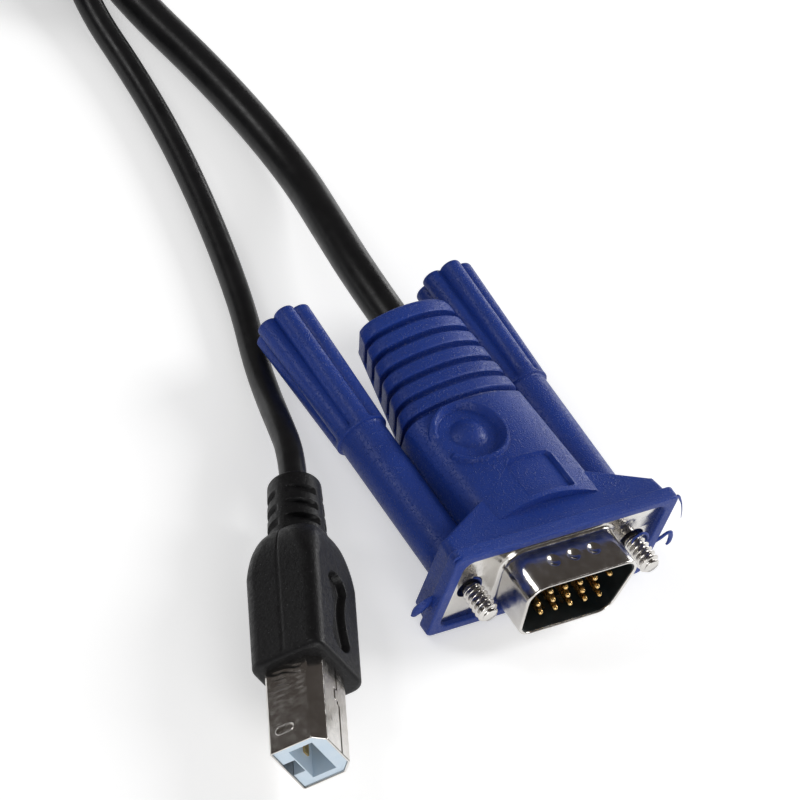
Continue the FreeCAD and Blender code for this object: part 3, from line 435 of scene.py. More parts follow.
def makePiece(name, parts, place, slot, sharp, node=None, body="cable", holes=None):
    # the parts joined in one mesh, put in place, seams merged, faces turned outward
    starts = np.cumsum([0] + [len(part[0]) for part in parts])
    points = np.concatenate([part[0] for part in parts]) @ np.array(place["turn"]).T + np.array(place["move"])
    quads = np.concatenate([part[1] + start for part, start in zip(parts, starts)])
    mesh = bpy.data.meshes.new(name)
    mesh.vertices.add(len(points))
    mesh.vertices.foreach_set("co", (points * mm).ravel())
    mesh.loops.add(quads.size)
    mesh.loops.foreach_set("vertex_index", quads.ravel().astype(np.int32))
    mesh.polygons.add(len(quads))
    mesh.polygons.foreach_set("loop_start", np.arange(0, quads.size, 4, dtype=np.int32))
    mesh.update(calc_edges=True)
    clean = bmesh.new()
    clean.from_mesh(mesh)
    bmesh.ops.remove_doubles(clean, verts=clean.verts, dist=mergeDistance)
    bmesh.ops.recalc_face_normals(clean, faces=clean.faces)
    clean.to_mesh(mesh)
    clean.free()
    mesh.validate()
    piece = bpy.data.objects.new(name, mesh)
    scene.collection.objects.link(piece)
    if holes is not None:
        cutHoles(piece, holes, place)
    piece.data.polygons.foreach_set("use_smooth", np.ones(len(piece.data.polygons), bool))
    piece.data.set_sharp_from_angle(angle=math.radians(sharp))
    piece.data.materials.clear()
    piece.data.materials.append(finishes[slot])
    if body:
        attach(piece, body)
        if node:
            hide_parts(node)
        print("piece", name, len(piece.data.polygons), "faces")
    return piece


def cutHoles(piece, holes, place):
    # the holes' shapes taken out of a finished mesh
    cutter = makePiece("cutter", holes, place, "blue_moulding", 38, body=None)
    change = piece.modifiers.new("holes", "BOOLEAN")
    change.operation = "DIFFERENCE"
    change.solver = "EXACT"
    change.object = cutter
    shape = bpy.data.meshes.new_from_object(piece.evaluated_get(bpy.context.evaluated_depsgraph_get()))
    piece.modifiers.clear()
    piece.data = shape
    bpy.data.objects.remove(cutter)


def headingTurn(direction):
    # the plug's own axes in the frame, when its rear points along the given heading in degrees
    angle = math.radians(direction - 90)
    return np.array([[math.cos(angle), -math.sin(angle), 0], [math.sin(angle), math.cos(angle), 0], [0, 0, 1]])


roll = math.radians(41.3)
rolled = np.array([[math.cos(roll), 0, math.sin(roll)], [0, 1, 0], [-math.sin(roll), 0, math.cos(roll)]])
places = {
    "near": {"turn": headingTurn(90), "move": (0.0, -19.125, 7.4)},
    "far": {"turn": headingTurn(0), "move": (-58.5, 184.9, 7.4)},
    "square": {"turn": headingTurn(60.4) @ rolled, "move": (-40.15, -24.56, 6.6462)},
    "bar": {"turn": headingTurn(90), "move": (-48.5, 70.0, 4.0)},
}

# hood: barrel with its banded relief, and the collar round the plate
hoodPlan = {
    "start": 3.9, "split": 22.0, "end": 38.5, "width": (18.4, 12.6), "side": (11.2, 7.2), "height": (15.1, 11.6),
    "aside": 2.0, "left": (9.3, 9.0, 5.3), "shoulder": 2.6, "under": 0.75, "edge": 0.5, "spacing": 24.99, "bore": 3.3,
    "rows": (120, 126), "upperGrid": (150, 14, 12), "lowerGrid": (24, 40, 12),
    "hole": [(2.72, 0.0), (2.48, 0.12), (2.42, 0.3), (2.42, 2.0), (0.0, 2.0)],
    "lean": {"slope": 0.35, "below": 2.5, "outside": (2.0, 6.0), "ramp": 3.0},
    "bowed": {"by": 0.9, "half": 8.4, "height": (3.0, 6.0), "length": 2.4},
    "relief": {"count": 6, "pitch": 2.68, "groove": 0.85, "sunk": 1.0, "wall": (-0.12, 0.08), "lead": 0.1,
               "frontBevel": (0.14, 0.5), "rearBevel": (0.12, 0.3), "flank": (-1.9, -0.9), "foot": (3.6, 4.2)},
    "disc": {"middle": (-3.5, 17.3), "radius": 4.4, "sunk": 0.5, "wall": (-0.3, 0.02), "slope": (0.3, -0.6),
             "dome": (2.3, 1.0), "ring": 0.5, "ringEdge": (0.32, 0.52), "opening": 187, "openEdge": (20, 26)},
    "window": {"middle": (1.1, 8.1), "half": (3.4, 3.2), "corner": 0.7, "sunk": 0.5, "wall": 0.1,
               "rim": 0.07, "rimAt": 0.16, "rimWidth": 0.14},
}
collarPlan = {
    "floor": 0.9, "opening": (15.25, 6.1, 1.4), "mouth": -0.45, "innerLip": 0.25, "corner": 0.9,
    "outerLip": (-0.4, 16.5, 7.1, 0.3), "backEdge": (0.95, 16.6, 7.2, 0.2),
    "skirt": [(1.18, 16.5, 6.75, 0.9), (1.25, 16.4, 6.6, 0.9), (3.6, 16.1, 6.35, 0.9), (3.8, 15.8, 6.25, 0.9),
              (7.5, 8.5, 5.9, 0.5), (7.6, 8.2, 5.6, 0.5), (7.6, 0.0, 0.0, 0.0)],
    "lean": {"by": 0.7, "from": (12, 16.8), "foot": -7.4, "tall": 14.8, "before": 4.0},
    "bore": (0.85, 14), "grid": ((24, 24), 6),
}


def hoodOutline(y):
    # top arc, round shoulder, side and bottom of the bowed barrel, with the outward direction at each place;
    # the left half is stretched out to its own edge, and its flank leans in below the shoulder
    plan = hoodPlan
    share = (y - plan["start"]) / (plan["end"] - plan["start"])
    half, side, top = [(pair[0] + share * (pair[1] - pair[0])) / 2
                       for pair in (plan["width"], plan["side"], plan["height"])]
    bow = top - side
    radius = (half ** 2 + bow ** 2) / (2 * bow)
    corner = plan["shoulder"]
    spread = np.arcsin((half - corner) / (radius - corner))
    lift = top - radius + (radius - corner) * np.cos(spread)
    mirror = np.array([1.0, -1.0])
    parts, outs = [], []
    for face, (arcCount, bendCount, sideCount) in ((1, plan["upperGrid"]), (-1, plan["lowerGrid"])):
        angle = spread[:, None] * np.linspace(-1, 1, arcCount)
        out = np.stack([np.sin(angle), np.cos(angle)], axis=-1)
        arc = out * radius[:, None, None]
        arc[..., 1] += (top - radius)[:, None]
        turn = spread[:, None] + (np.pi / 2 - spread)[:, None] * np.linspace(0, 1, bendCount + 1)[1:]
        bendOut = np.stack([np.sin(turn), np.cos(turn)], axis=-1)
        bend = bendOut * corner
        bend[..., 0] += (half - corner)[:, None]
        bend[..., 1] += lift[:, None]
        fall = np.linspace(1, -1, sideCount + 2)[1:-1]
        flank = np.stack([np.broadcast_to(half[:, None], (len(y), sideCount)), lift[:, None] * fall], axis=-1)
        flankOut = np.broadcast_to(np.array([1.0, 0.0]), flank.shape)
        parts.append(np.concatenate([arc, bend, flank, bend[:, ::-1] * mirror], axis=1) * face)
        outs.append(np.concatenate([out, bendOut, flankOut, bendOut[:, ::-1] * mirror], axis=1) * face)
    outline = np.concatenate(parts, axis=1)
    outline[..., 1] *= np.where(outline[..., 1] < 0, plan["under"], 1)
    aside = share * plan["aside"]
    edge = np.interp(y, (plan["start"], plan["split"], plan["end"]), plan["left"])
    toLeft = outline[..., 0] < 0
    outline[..., 0] *= np.where(toLeft, ((edge + aside) / half)[:, None], 1)
    lean = plan["lean"]
    slope = lean["slope"] * ease(y, plan["split"] - lean["ramp"], plan["split"] + lean["ramp"])
    below = np.clip(lean["below"] - outline[..., 1], 0, None)
    outline[..., 0] += toLeft * slope[:, None] * below * ease(-outline[..., 0], *lean["outside"])
    outline[..., 0] += aside[:, None]
    return outline, np.concatenate(outs, axis=1)


def grooveDepth(y, height):
    # grooves between the bands and bevels on the bands' two edges, both faded out on the lower flanks
    plan = hoodPlan["relief"]
    split, pitch, width, lead = hoodPlan["split"], plan["pitch"], plan["groove"], plan["lead"]
    banded = (y >= split) & (y < split + plan["count"] * pitch)
    past = np.where(banded, np.mod(y - split, pitch), pitch / 2)
    groove = 1 - ease(past, width + plan["wall"][0], width + plan["wall"][1])
    groove = groove * np.where(y < split + 2 * lead, ease(y, split - lead, split + lead), 1)
    depth, reach = plan["frontBevel"]
    bevel = depth * np.clip(1 - (past - width) / reach, 0, 1) ** 2 * (past > width)
    depth, reach = plan["rearBevel"]
    bevel = bevel + depth * np.clip((past - pitch + reach) / reach, 0, 1) ** 2
    flank = ease(height, *plan["flank"]) + ease(-height, *plan["foot"])
    return (plan["sunk"] * groove + bevel * (1 - groove))[:, None] * flank


def pressDisc(points, out):
    # sunk by less and less towards the open side, with a dome cut from a ball, and a ring that is open there too
    plan = hoodPlan["disc"]
    reach = plan["radius"]
    dx, dy = points[..., 0] - plan["middle"][0], points[..., 1] - plan["middle"][1]
    away = np.hypot(dx, dy)
    upper = points[..., 2] > 0
    inside = 1 - ease(away, reach + plan["wall"][0], reach + plan["wall"][1])
    sunk = plan["sunk"] * inside * ease(dx, plan["slope"][0] - reach, plan["slope"][1])
    half, rise = plan["dome"]
    ball = (half ** 2 + rise ** 2) / (2 * rise)
    dome = np.sqrt(np.clip(ball ** 2 - away ** 2, 0, None)) - ball + rise
    opened = np.abs(np.mod(np.degrees(np.arctan2(dy, dx)), 360) - plan["opening"])
    ring = 1 - ease(np.abs(away - reach), *plan["ringEdge"])
    ring = plan["ring"] * ring * ease(opened, *plan["openEdge"]) * upper
    points[..., 2] += (np.clip(dome, 0, None) - sunk) * upper
    points[..., ::2] += ring[..., None] * out


def pressWindow(points):
    # sunk alike inside a box with round corners, with a thin rim along its edge
    plan = hoodPlan["window"]
    corner = plan["corner"]
    dx, dy = [np.abs(points[..., axis] - plan["middle"][axis]) - plan["half"][axis] + corner for axis in (0, 1)]
    edge = np.hypot(np.maximum(dx, 0), np.maximum(dy, 0)) + np.minimum(np.maximum(dx, dy), 0) - corner
    within = 1 - ease(edge, -plan["wall"], plan["wall"])
    rim = plan["rim"] * np.exp(-((edge - plan["rimAt"]) / plan["rimWidth"]) ** 2)
    points[..., 2] += (rim - within * plan["sunk"]) * (points[..., 2] > 0)


def barrelRear(last, out):
    # the last outline's edge drawn in along a quarter circle, then the cord's hole as (radius, depth) rows
    plan = hoodPlan
    end, edge = plan["end"], plan["edge"]
    centre = np.array([plan["aside"] * (end - edge - plan["start"]) / (end - plan["start"]), 0, 0])
    angle = np.linspace(0, np.pi / 2, 7)[1:, None, None]
    rows = last - np.insert(out, 1, 0, axis=1) * edge * (1 - np.cos(angle)) + np.array([0, edge, 0]) * np.sin(angle)
    flat = rows[-1] - centre
    hole = np.array(plan["hole"])
    bearing = np.arctan2(flat[:, 2], flat[:, 0])
    return np.concatenate([rows, centre + roundRows(hole[:, :1], end - hole[:, 1:], bearing)])


def barrelPart():
    # outlines along y, pressed in at the grooves, the disc and the window, closed in front and rounded at the rear
    plan = hoodPlan
    y = np.concatenate([np.linspace(plan["start"], plan["split"], plan["rows"][0], endpoint=False),
                        np.linspace(plan["split"], plan["end"] - plan["edge"], plan["rows"][1])])
    outline, out = hoodOutline(y)
    outline = outline - grooveDepth(y, outline[..., 1])[..., None] * out
    points = np.stack([outline[..., 0], np.broadcast_to(y[:, None], outline.shape[:2]), outline[..., 1]], axis=-1)
    pressDisc(points, out)
    pressWindow(points)
    # the top's front edge is bowed back in the middle
    bow = plan["bowed"]
    back = bow["by"] * np.clip(1 - (points[..., 0] / bow["half"]) ** 2, 0, 1)
    back = back * ease(points[..., 2], *bow["height"])
    points[..., 1] += back * (1 - ease(points[..., 1], plan["start"], plan["start"] + bow["length"]))
    front = [points[0] * np.array([share, 1, share]) for share in (0.0, 0.9)]
    return gridPart(np.concatenate([np.stack(front), points, barrelRear(points[-1], out[-1])]))


def collarPart():
    # box loops: the plate's opening, the rim's rounded lip, the flange and the sloped skirt
    plan = collarPlan
    wide, high, corner = plan["opening"]
    lip = plan["innerLip"]
    stations = [(plan["floor"], 0.0, 0.0, 0.0), (plan["floor"], wide, high, corner)]
    stations += cornerRows(plan["mouth"], wide + lip, high + lip, lip, corner, 180, 6)
    stations += cornerRows(*plan["outerLip"], plan["corner"], -90, 6)
    stations += cornerRows(*plan["backEdge"], plan["corner"], 0, 6)
    points, quads = loopRows(stations + plan["skirt"], *plan["grid"])
    # the flange's left end is a little wider at its top than at its foot
    lean = plan["lean"]
    out = lean["by"] * ease(-points[:, 0], *lean["from"])
    out = out * np.clip((points[:, 2] - lean["foot"]) / lean["tall"], 0, 1)
    points[:, 0] -= out * (points[:, 1] < lean["before"])
    return points, quads


def boreParts(radius, front, rear):
    # two round rods on the thumbscrews' axes, to open holes with
    rod = turnedPart([(front, 0), (front, radius), (rear, radius), (rear, 0)], 64)
    return [moved(rod, (side * hoodPlan["spacing"] / 2, 0, 0)) for side in (-1, 1)]


# steel plate with its shroud, the pins, and the thumbscrews
shellPlan = {
    "width": 17.7, "height": 9.15, "slope": 10.0, "corner": 2.4, "sheet": 0.45, "depth": 5.95, "flare": 0.6,
    "drop": 0.5, "root": 0.5, "plate": (15.405, 6.275, 1.6, 0.8),
    "plateEdge": [(0.0, 0.15), (0.05, 0.04), (0.15, 0.0)], "hole": 1.8, "through": (-1, 2), "mouth": 0.6,
    "dimple": (3.1, 2.6, 0.95, 0.24), "dimpleBand": 0.6, "grid": (84, 12),
}
# the black cup inside the shroud: its floor is the insulator's face, and its walls are painted shade over the shroud's
# inner walls
insulatorAndShadeCupPlan = {"back": 0.4, "floor": -0.1, "recess": 0.25, "gap": 0.03, "inside": 0.12}
pinPlan = {
    "pitch": 2.29, "row": 1.98, "drop": 0.3, "stagger": 0.25,
    "profile": [(3.6, 0), (3.6, 0.38), (-4.7, 0.38), (-4.96, 0.35), (-5.14, 0.26), (-5.23, 0.14), (-5.25, 0)],
}
screwPlan = {"tip": -4.8, "runout": -0.7, "past": 0.35, "fade": 0.3, "radius": 1.46, "pitch": 0.72, "cut": 0.5,
             "crest": 0.8, "shank": 1.15, "held": 18.0, "point": (0.98, 0.95), "grid": (120, 48)}
knobPlan = {
    "nose": [(1.2, 0.0), (1.2, 2.9), (1.26, 3.04), (1.4, 3.1)], "sleeve": (1.8, 24.7, 3.1),
    "step": [(24.88, 3.14), (25.0, 3.2), (25.02, 3.4), (25.1, 3.5)], "ring": 25.0, "end": 44.2, "grip": (3.5, 4.0),
    "gripFrom": 25.2, "edge": 0.45, "flutes": 6, "lobe": 1.4, "turned": {"left": 17.0, "right": 0.0},
    "deepens": (0.62, 0.38), "fadeIn": (0.15, 1.0), "rows": (30, 48), "around": 160,
}


def shroudLoop(inset):
    # the tapered outline moved inwards: four slanted sides and four round corners
    plan = shellPlan
    slope = math.radians(plan["slope"])
    top = plan["height"] / 2 - inset
    foot = top + plan["drop"]
    middle = plan["width"] / 2 - math.tan(slope) * plan["height"] / 2 - inset / math.cos(slope)
    low, high = middle - math.tan(slope) * foot, middle + math.tan(slope) * top
    corners = [(low, -foot), (high, top), (-high, top), (-low, -foot)]
    return polygonLoop(corners, plan["corner"] - inset, *plan["grid"])


def lipRows(front, lip, steps):
    # (y, inset) pairs round a sheet's front edge: a half circle from its outside to its inside
    turns = np.linspace(np.pi, 2 * np.pi, steps)[1:]
    return [(front + lip + lip * np.sin(a), lip + lip * np.cos(a)) for a in turns]


def shroudPart():
    # outlines along y: root flare, wall, rolled lip and inner wall, pressed in at the dimples
    plan = shellPlan
    flare, sheet, front, root = plan["flare"], plan["sheet"], -plan["depth"], plan["root"]
    lip = sheet / 2
    rows = [(-flare + flare * np.cos(a), -flare + flare * np.sin(a)) for a in np.linspace(0, np.pi / 2, 7)]
    rows += [(y, 0.0) for y in np.linspace(-flare, front + lip, 46)[1:]]
    rows += lipRows(front, lip, 13)
    rows += [(y, sheet) for y in np.linspace(front + lip, root, 8)[1:]]
    rows += [(root, -flare), (0.0, -flare)]
    points = stackLoops([(y, shroudLoop(inset)) for y, inset in rows])
    pitch, back, reach, deep = plan["dimple"]
    top = points[..., 2] > 0
    x = np.abs(points[..., 0])
    near = np.where(top, np.minimum(x, np.abs(x - pitch)), np.abs(x - pitch / 2))
    away = np.hypot(near, points[..., 1] + back)
    level = np.abs(points[..., 2]) > plan["height"] / 2 - plan["dimpleBand"]
    press = deep * np.clip(1 - (away / reach) ** 2, 0, 1) ** 1.5 * level
    points[..., 2] -= np.where(top, press, -press)
    return gridPart(points)


def platePart():
    # box loops: a front face whose edge is bevelled by (y, inset) pairs, a flank and a back
    wide, high, corner, thick = shellPlan["plate"]
    stations = [(y, wide - inset, high - inset, corner) for y, inset in shellPlan["plateEdge"]]
    return loopRows([(0, 0, 0, 0)] + stations + [(thick, wide, high, corner), (thick, 0, 0, 0)], (20, 20), 8)


def insulatorAndShadeCupPart():
    # a black cup inside the shroud, its floor the insulator's face and its walls painted shade over the shroud's inner
    # walls: its outside, its edge, its inside and its floor
    plan = insulatorAndShadeCupPlan
    front = plan["recess"] - shellPlan["depth"]
    outer, inner = [shroudLoop(shellPlan["sheet"] + plan[key]) for key in ("gap", "inside")]
    rows = [(plan["back"], outer * 0), (plan["back"], outer), (front, outer), (front, inner), (plan["floor"], inner),
            (plan["floor"], inner * 0)]
    return gridPart(stackLoops(rows))


def mouthPart():
    # the shroud's inside as a plug, to open the plate with
    loop = shroudLoop(shellPlan["sheet"] * shellPlan["mouth"])
    front, rear = shellPlan["through"]
    return gridPart(stackLoops([(front, loop * 0), (front, loop), (rear, loop), (rear, loop * 0)]))


def pinParts():
    # three rows of five turned pins, the middle row staggered against the others
    plan = pinPlan
    pin = turnedPart(plan["profile"], 20)
    pins = []
    for row in (1, 0, -1):
        shift = -plan["stagger"] if row == 0 else plan["stagger"]
        z = plan["row"] * row - plan["drop"]
        pins += [moved(pin, (plan["pitch"] * (column - 2 + shift), 0, z)) for column in range(5)]
    return pins


def screwPart():
    # a round rod whose surface is cut by a rounded helical groove, with a bevelled tip
    plan = screwPlan
    rows, around = plan["grid"]
    y = np.linspace(plan["tip"], plan["runout"] + plan["past"], rows)[:, None]
    angle = fullTurn(around)
    wave = 0.5 + 0.5 * np.cos(2 * np.pi * y / plan["pitch"] + angle)
    ended = ease(y, plan["runout"] - plan["fade"], plan["runout"] + plan["fade"])
    radius = (plan["radius"] - plan["cut"] * wave ** plan["crest"]) * (1 - ended) + plan["shank"] * ended
    radius = np.minimum(radius, plan["point"][0] + plan["point"][1] * (y - plan["tip"]))
    points = roundRows(radius, y, angle)
    tip = points[:1] * np.array([0, 1, 0])
    held = np.array([0, plan["held"], 0])
    rear = np.stack([points[-1] * np.array([share, 0, share]) + held for share in (1, 0)])
    return gridPart(np.concatenate([tip, points, rear]))


def knobPart(side):
    # sleeve, step ring, and a flared grip: the cone times a ring of round lobes that deepen to the rear
    plan = knobPlan
    ring, end, edge = plan["ring"], plan["end"], plan["edge"]
    angle = fullTurn(plan["around"])
    front, back, size = plan["sleeve"]
    slim, full = plan["grip"]
    grip = np.linspace(plan["gripFrom"], end - edge, plan["rows"][1])
    cone = slim + (full - slim) * (grip - ring) / (end - ring)
    sleeve = [(y, size) for y in np.linspace(front, back, plan["rows"][0])]
    profile = np.array(plan["nose"] + sleeve + plan["step"] + list(zip(grip, cone)))
    y = profile[:, :1]
    gap = 2 * np.pi / plan["flutes"]
    off = np.mod(angle - math.radians(plan["turned"][side]), gap) - gap / 2
    far = full - plan["lobe"]
    petal = (far * np.cos(off) + np.sqrt(np.clip(plan["lobe"] ** 2 - (far * np.sin(off)) ** 2, 0, None))) / full
    shallow, more = plan["deepens"]
    grown = ease(y - ring, *plan["fadeIn"]) * (shallow + more * ease(y, ring, end))
    radius = profile[:, 1:] * (1 - grown * (1 - petal))
    rear = roundedRear(radius[-1], end, edge, 7, angle)
    middle = rear[-1:] * np.array([0, 1, 0])
    return gridPart(np.concatenate([roundRows(radius, y, angle), rear, middle]))


# flash left by the mould: thin bits in planes across the plug, as (y, flatness, path of (x, z, radius))
flashPlan = {"along": 12, "around": 10, "blur": 4, "bits": [
    (1.0, 0.4, [
        (-15.8, -1.5, 0.3), (-16.98, -1.87, 0.75), (-17.77, -2.4, 1.0), (-18.36, -3.42, 1.0), (-18.77, -4.51, 0.4)]),
    (-0.5, 0.6, [
        (16.5, -1.4, 0.4), (17.33, -1.02, 0.33), (18.05, -0.36, 0.3), (18.62, -0.48, 0.33), (19.05, -1.46, 0.36),
        (19.2, -2.54, 0.33), (18.95, -3.0, 0.2)]),
    (-0.3, 0.6, [
        (16.6, 7.0, 0.25), (17.13, 6.61, 0.2), (18.15, 5.08, 0.1), (18.95, 3.32, 0.07), (19.5, 1.6, 0.04)]),
    (-1.2, 0.8, [
        (11.52, 0.71, 0.1), (11.4, 1.67, 0.15), (11.95, 2.13, 0.18), (12.51, 2.43, 0.2), (13.46, 1.87, 0.2),
        (14.07, 0.82, 0.17), (13.67, 0.46, 0.15), (12.68, 1.2, 0.1)]),
    (-0.1, 0.6, [(-17.6, 6.6, 0.1), (-17.5, 7.2, 0.25), (-17.0, 7.3, 0.25), (-16.5, 6.9, 0.1)]),
    (-0.1, 0.7, [
        (-12.72, 1.84, 0.05), (-11.79, 1.5, 0.13), (-10.96, 0.57, 0.13), (-10.63, -0.42, 0.05)]),
]}


def flashPart(y, flat, path):
    # ovals across a smoothed path: along its normal in the plane by the radius, along y by the flattened radius
    path = np.array(path)
    step = np.arange(len(path))
    fine = np.linspace(0, len(path) - 1, flashPlan["along"] * len(path))
    dense = np.column_stack([np.interp(fine, step, column) for column in path.T])
    blur = flashPlan["blur"]
    padded = np.concatenate([dense[:1].repeat(blur, 0), dense, dense[-1:].repeat(blur, 0)])
    smooth = np.mean([padded[shift:shift + len(dense)] for shift in range(2 * blur + 1)], axis=0)
    ahead = np.gradient(smooth[:, :2], axis=0)
    ahead = ahead / np.linalg.norm(ahead, axis=1)[:, None]
    size = smooth[:, 2][:, None]
    size = np.concatenate([size[:1] * 0, size[1:-1], size[-1:] * 0])
    angle = fullTurn(flashPlan["around"])
    x = smooth[:, :1] - ahead[:, 1:] * size * np.cos(angle)
    z = smooth[:, 1:2] + ahead[:, :1] * size * np.cos(angle)
    return gridPart(np.stack([x, y + flat * size * np.sin(angle), z], axis=-1))


def makeVideoPlug(end):
    # every piece of one video plug in its place, with the thumbscrews on bodies of their own
    place = places[end]
    makePiece(end + "Hood", [barrelPart()], place, "blue_moulding", 38, end + "_video_hood")
    makePiece(end + "Collar", [collarPart()], place, "blue_moulding", 30,
              holes=boreParts(hoodPlan["bore"], *collarPlan["bore"]))
    makePiece(end + "Plate", [platePart()], place, "plated_steel", 30, end + "_video_shell",
              holes=boreParts(shellPlan["hole"], *shellPlan["through"]) + [mouthPart()])
    makePiece(end + "Shroud", [shroudPart()], place, "plated_steel", 45)
    # the black cup: the insulator's face, with walls of painted shade inside the shroud
    makePiece(end + "InsulatorAndShadeCup", [insulatorAndShadeCupPart()], place, "black_insulator", 40)
    makePiece(end + "Pins", pinParts(), place, "gold_contact", 60, end + "_video_pins")
    for side, sign in (("left", -1), ("right", 1)):
        shift = (sign * hoodPlan["spacing"] / 2, 0, 0)
        for kind, part, slot, sharp in (("knob", knobPart(side), "blue_moulding", 42),
                                        ("screw", screwPart(), "plated_steel", 60)):
            makePiece(end + side.title() + kind.title(), [moved(part, shift)], place, slot, sharp,
                      "%s_%s_%s" % (end, side, kind), "%s_%s_thumbscrew" % (end, side))


for plugEnd in ("near", "far"):
    makeVideoPlug(plugEnd)
makePiece("nearFlash", [flashPart(*bit) for bit in flashPlan["bits"]], places["near"], "blue_moulding", 60)

# data plugs: grip block with dents and boot, and the square steel shell
gripPlans = {
    "square": {"half": (5.5, 5.0), "corner": 1.6, "straight": 14.4, "end": 20.9, "dent": True, "steps": 130,
               "sides": (30, 110)},
    "bar": {"half": (7.8, 4.0), "corner": 1.5, "straight": 14.5, "end": 20.0, "dent": False, "steps": 24,
            "sides": (12, 30)},
}
shoulderPlan = {"edge": 0.7, "ledge": 3.8, "corner": 3.2, "full": 0.98, "past": 0.05, "steps": 40}
bootPlan = {"radius": (3.7, 3.3), "length": 9.6, "sunk": 0.1, "edge": 0.4, "rows": 3, "first": 1.9, "pitch": 2.4,
            "slot": (2.2, 1.1, 2.85), "slotSide": 0.15, "slotEnd": 0.1, "grid": (120, 160),
            "hole": [(1.97, 0.0), (1.72, 0.2), (1.72, 2.0), (0.0, 2.0)]}
dentPlan = {"middle": 8.2, "ends": 3.9, "width": 2.1, "waist": 1.3, "depth": 0.95, "wall": (-0.6, 0.08), "face": 0.4,
            "parting": (0.05, 2.0, 0.07)}


def pressDents(points, high):
    # a waisted slot with round ends on both broad faces, and the mould's parting line down both flanks
    plan = dentPlan
    along = np.abs(points[:, 1] - plan["middle"])
    past = along - plan["ends"]
    waist = plan["waist"] + (plan["width"] - plan["waist"]) * (along / plan["ends"]) ** 2
    tip = np.sqrt(np.clip(plan["width"] ** 2 - np.clip(past, 0, None) ** 2, 0, None))
    half = np.where(past < 0, waist, tip)
    side = np.where(past < plan["width"], np.abs(points[:, 0]) - half, 1.0)
    inside = 1 - ease(side, *plan["wall"])
    face = np.abs(points[:, 2]) > high - plan["face"]
    points[:, 2] -= np.sign(points[:, 2]) * plan["depth"] * inside * face
    width, outside, depth = plan["parting"]
    parted = (np.abs(points[:, 2]) < width) * (np.abs(points[:, 0]) > outside) * (points[:, 1] > shoulderPlan["edge"])
    points[:, 0] -= np.sign(points[:, 0]) * depth * parted


def gripPart(plan):
    # box loops: a rounded front edge, straight flanks, domed shoulders drawn in to the boot; dents on two faces
    wide, high = plan["half"]
    edge, ledge = shoulderPlan["edge"], shoulderPlan["ledge"]
    stations = [(0.0, 0.0, 0.0, 0.0)] + cornerRows(edge, wide - edge, high - edge, edge, plan["corner"], -90, 7)
    stations += [(y, wide, high, plan["corner"]) for y in np.linspace(edge, plan["straight"], plan["steps"])[1:]]
    span = plan["end"] - plan["straight"]
    for share in np.linspace(0, 1, shoulderPlan["steps"])[1:]:
        # a quarter of an ellipse from the flank to the ledge
        draw = 1 - np.sqrt(1 - shoulderPlan["full"] * share ** 2)
        corner = plan["corner"] + (shoulderPlan["corner"] - plan["corner"]) * share
        stations.append((plan["straight"] + span * share, wide + (ledge - wide) * draw, high + (ledge - high) * draw,
                         corner))
    stations.append((plan["end"] + shoulderPlan["past"], 0.0, 0.0, 0.0))
    points, quads = loopRows(stations, plan["sides"], 8)
    if plan["dent"]:
        pressDents(points, high)
    return points, quads


def bootPart(start):
    # a tapered cuff turned about y; inside a slot the radius is that of a flat floor
    plan = bootPlan
    length, edge = plan["length"], plan["edge"]
    rows, around = plan["grid"]
    y = np.linspace(-plan["sunk"], length - edge, rows)[:, None]
    angle = fullTurn(around)
    radius = plan["radius"][0] + (plan["radius"][1] - plan["radius"][0]) * y / length
    off = np.mod(angle, np.pi / 2) - np.pi / 4
    reach, width, floor = plan["slot"]
    row = np.clip(np.round((y - plan["first"]) / plan["pitch"]), 0, plan["rows"] - 1)
    aside = np.abs(y - plan["first"] - row * plan["pitch"]) - width / 2
    across = np.abs(np.sin(off)) * radius - reach
    slot = 1 - ease(aside, -plan["slotEnd"], plan["slotEnd"])
    slot = slot * (1 - ease(across, -plan["slotSide"], plan["slotSide"]))
    radius = radius + slot * (np.minimum(floor / np.cos(off), radius) - radius)
    points = roundRows(radius, y, angle)
    front = points[:1] * np.array([0, 1, 0])
    rear = roundedRear(radius[-1], length, edge, 6, angle)
    hole = np.array(plan["hole"])
    inside = roundRows(hole[:, :1], length - hole[:, 1:], angle)
    return moved(gridPart(np.concatenate([front, points, rear, inside])), (0, start, 0))


for kind, grip in gripPlans.items():
    makePiece(kind + "Grip", [gripPart(grip), bootPart(grip["end"])], places[kind], "black_moulding", 42,
              kind + "_plug_grip")

squarePlan = {
    "half": 4.0, "top": 3.63, "bevel": 1.4, "sheet": 0.3, "reach": 12.6, "hold": 4.0, "bend": 0.35,
    "inside": 4.0, "rows": (0.2, 130), "grid": (44, 6), "oval": (-9.7, -1.2, 0.68, 0.52), "ovalGrid": 48,
    "ripple": {"depth": 0.026, "pitch": 0.82, "along": (-8.5, -2.5), "middle": -0.7, "half": 2.6, "fade": 1.4,
               "wander": (0.9, 2.1), "slant": 2.4},
    "seam": {"at": 0.75, "step": 0.3, "stepFrom": (-5.4, -5.2), "catch": 0.55, "catchAt": -3.9,
             "catchHalf": (0.9, 0.75), "depth": 0.16, "half": (0.05, 0.13)},
}
rimPlan = {"foot": (0.14, -0.1), "ridge": (0.05, 0.09, 0.07), "inside": (-0.04, -0.28), "steps": 7}


def squareLoop(inset):
    # a box with its two upper corners cut off, moved inwards by the inset
    plan = squarePlan
    half, top = plan["half"] - inset, plan["top"] - inset
    bevel = plan["bevel"] - inset * (2 - math.sqrt(2))
    corners = [(-half, -top), (half, -top), (half, top - bevel), (half - bevel, top), (bevel - half, top),
               (-half, top - bevel)]
    return polygonLoop(corners, plan["bend"] - inset, *plan["grid"])


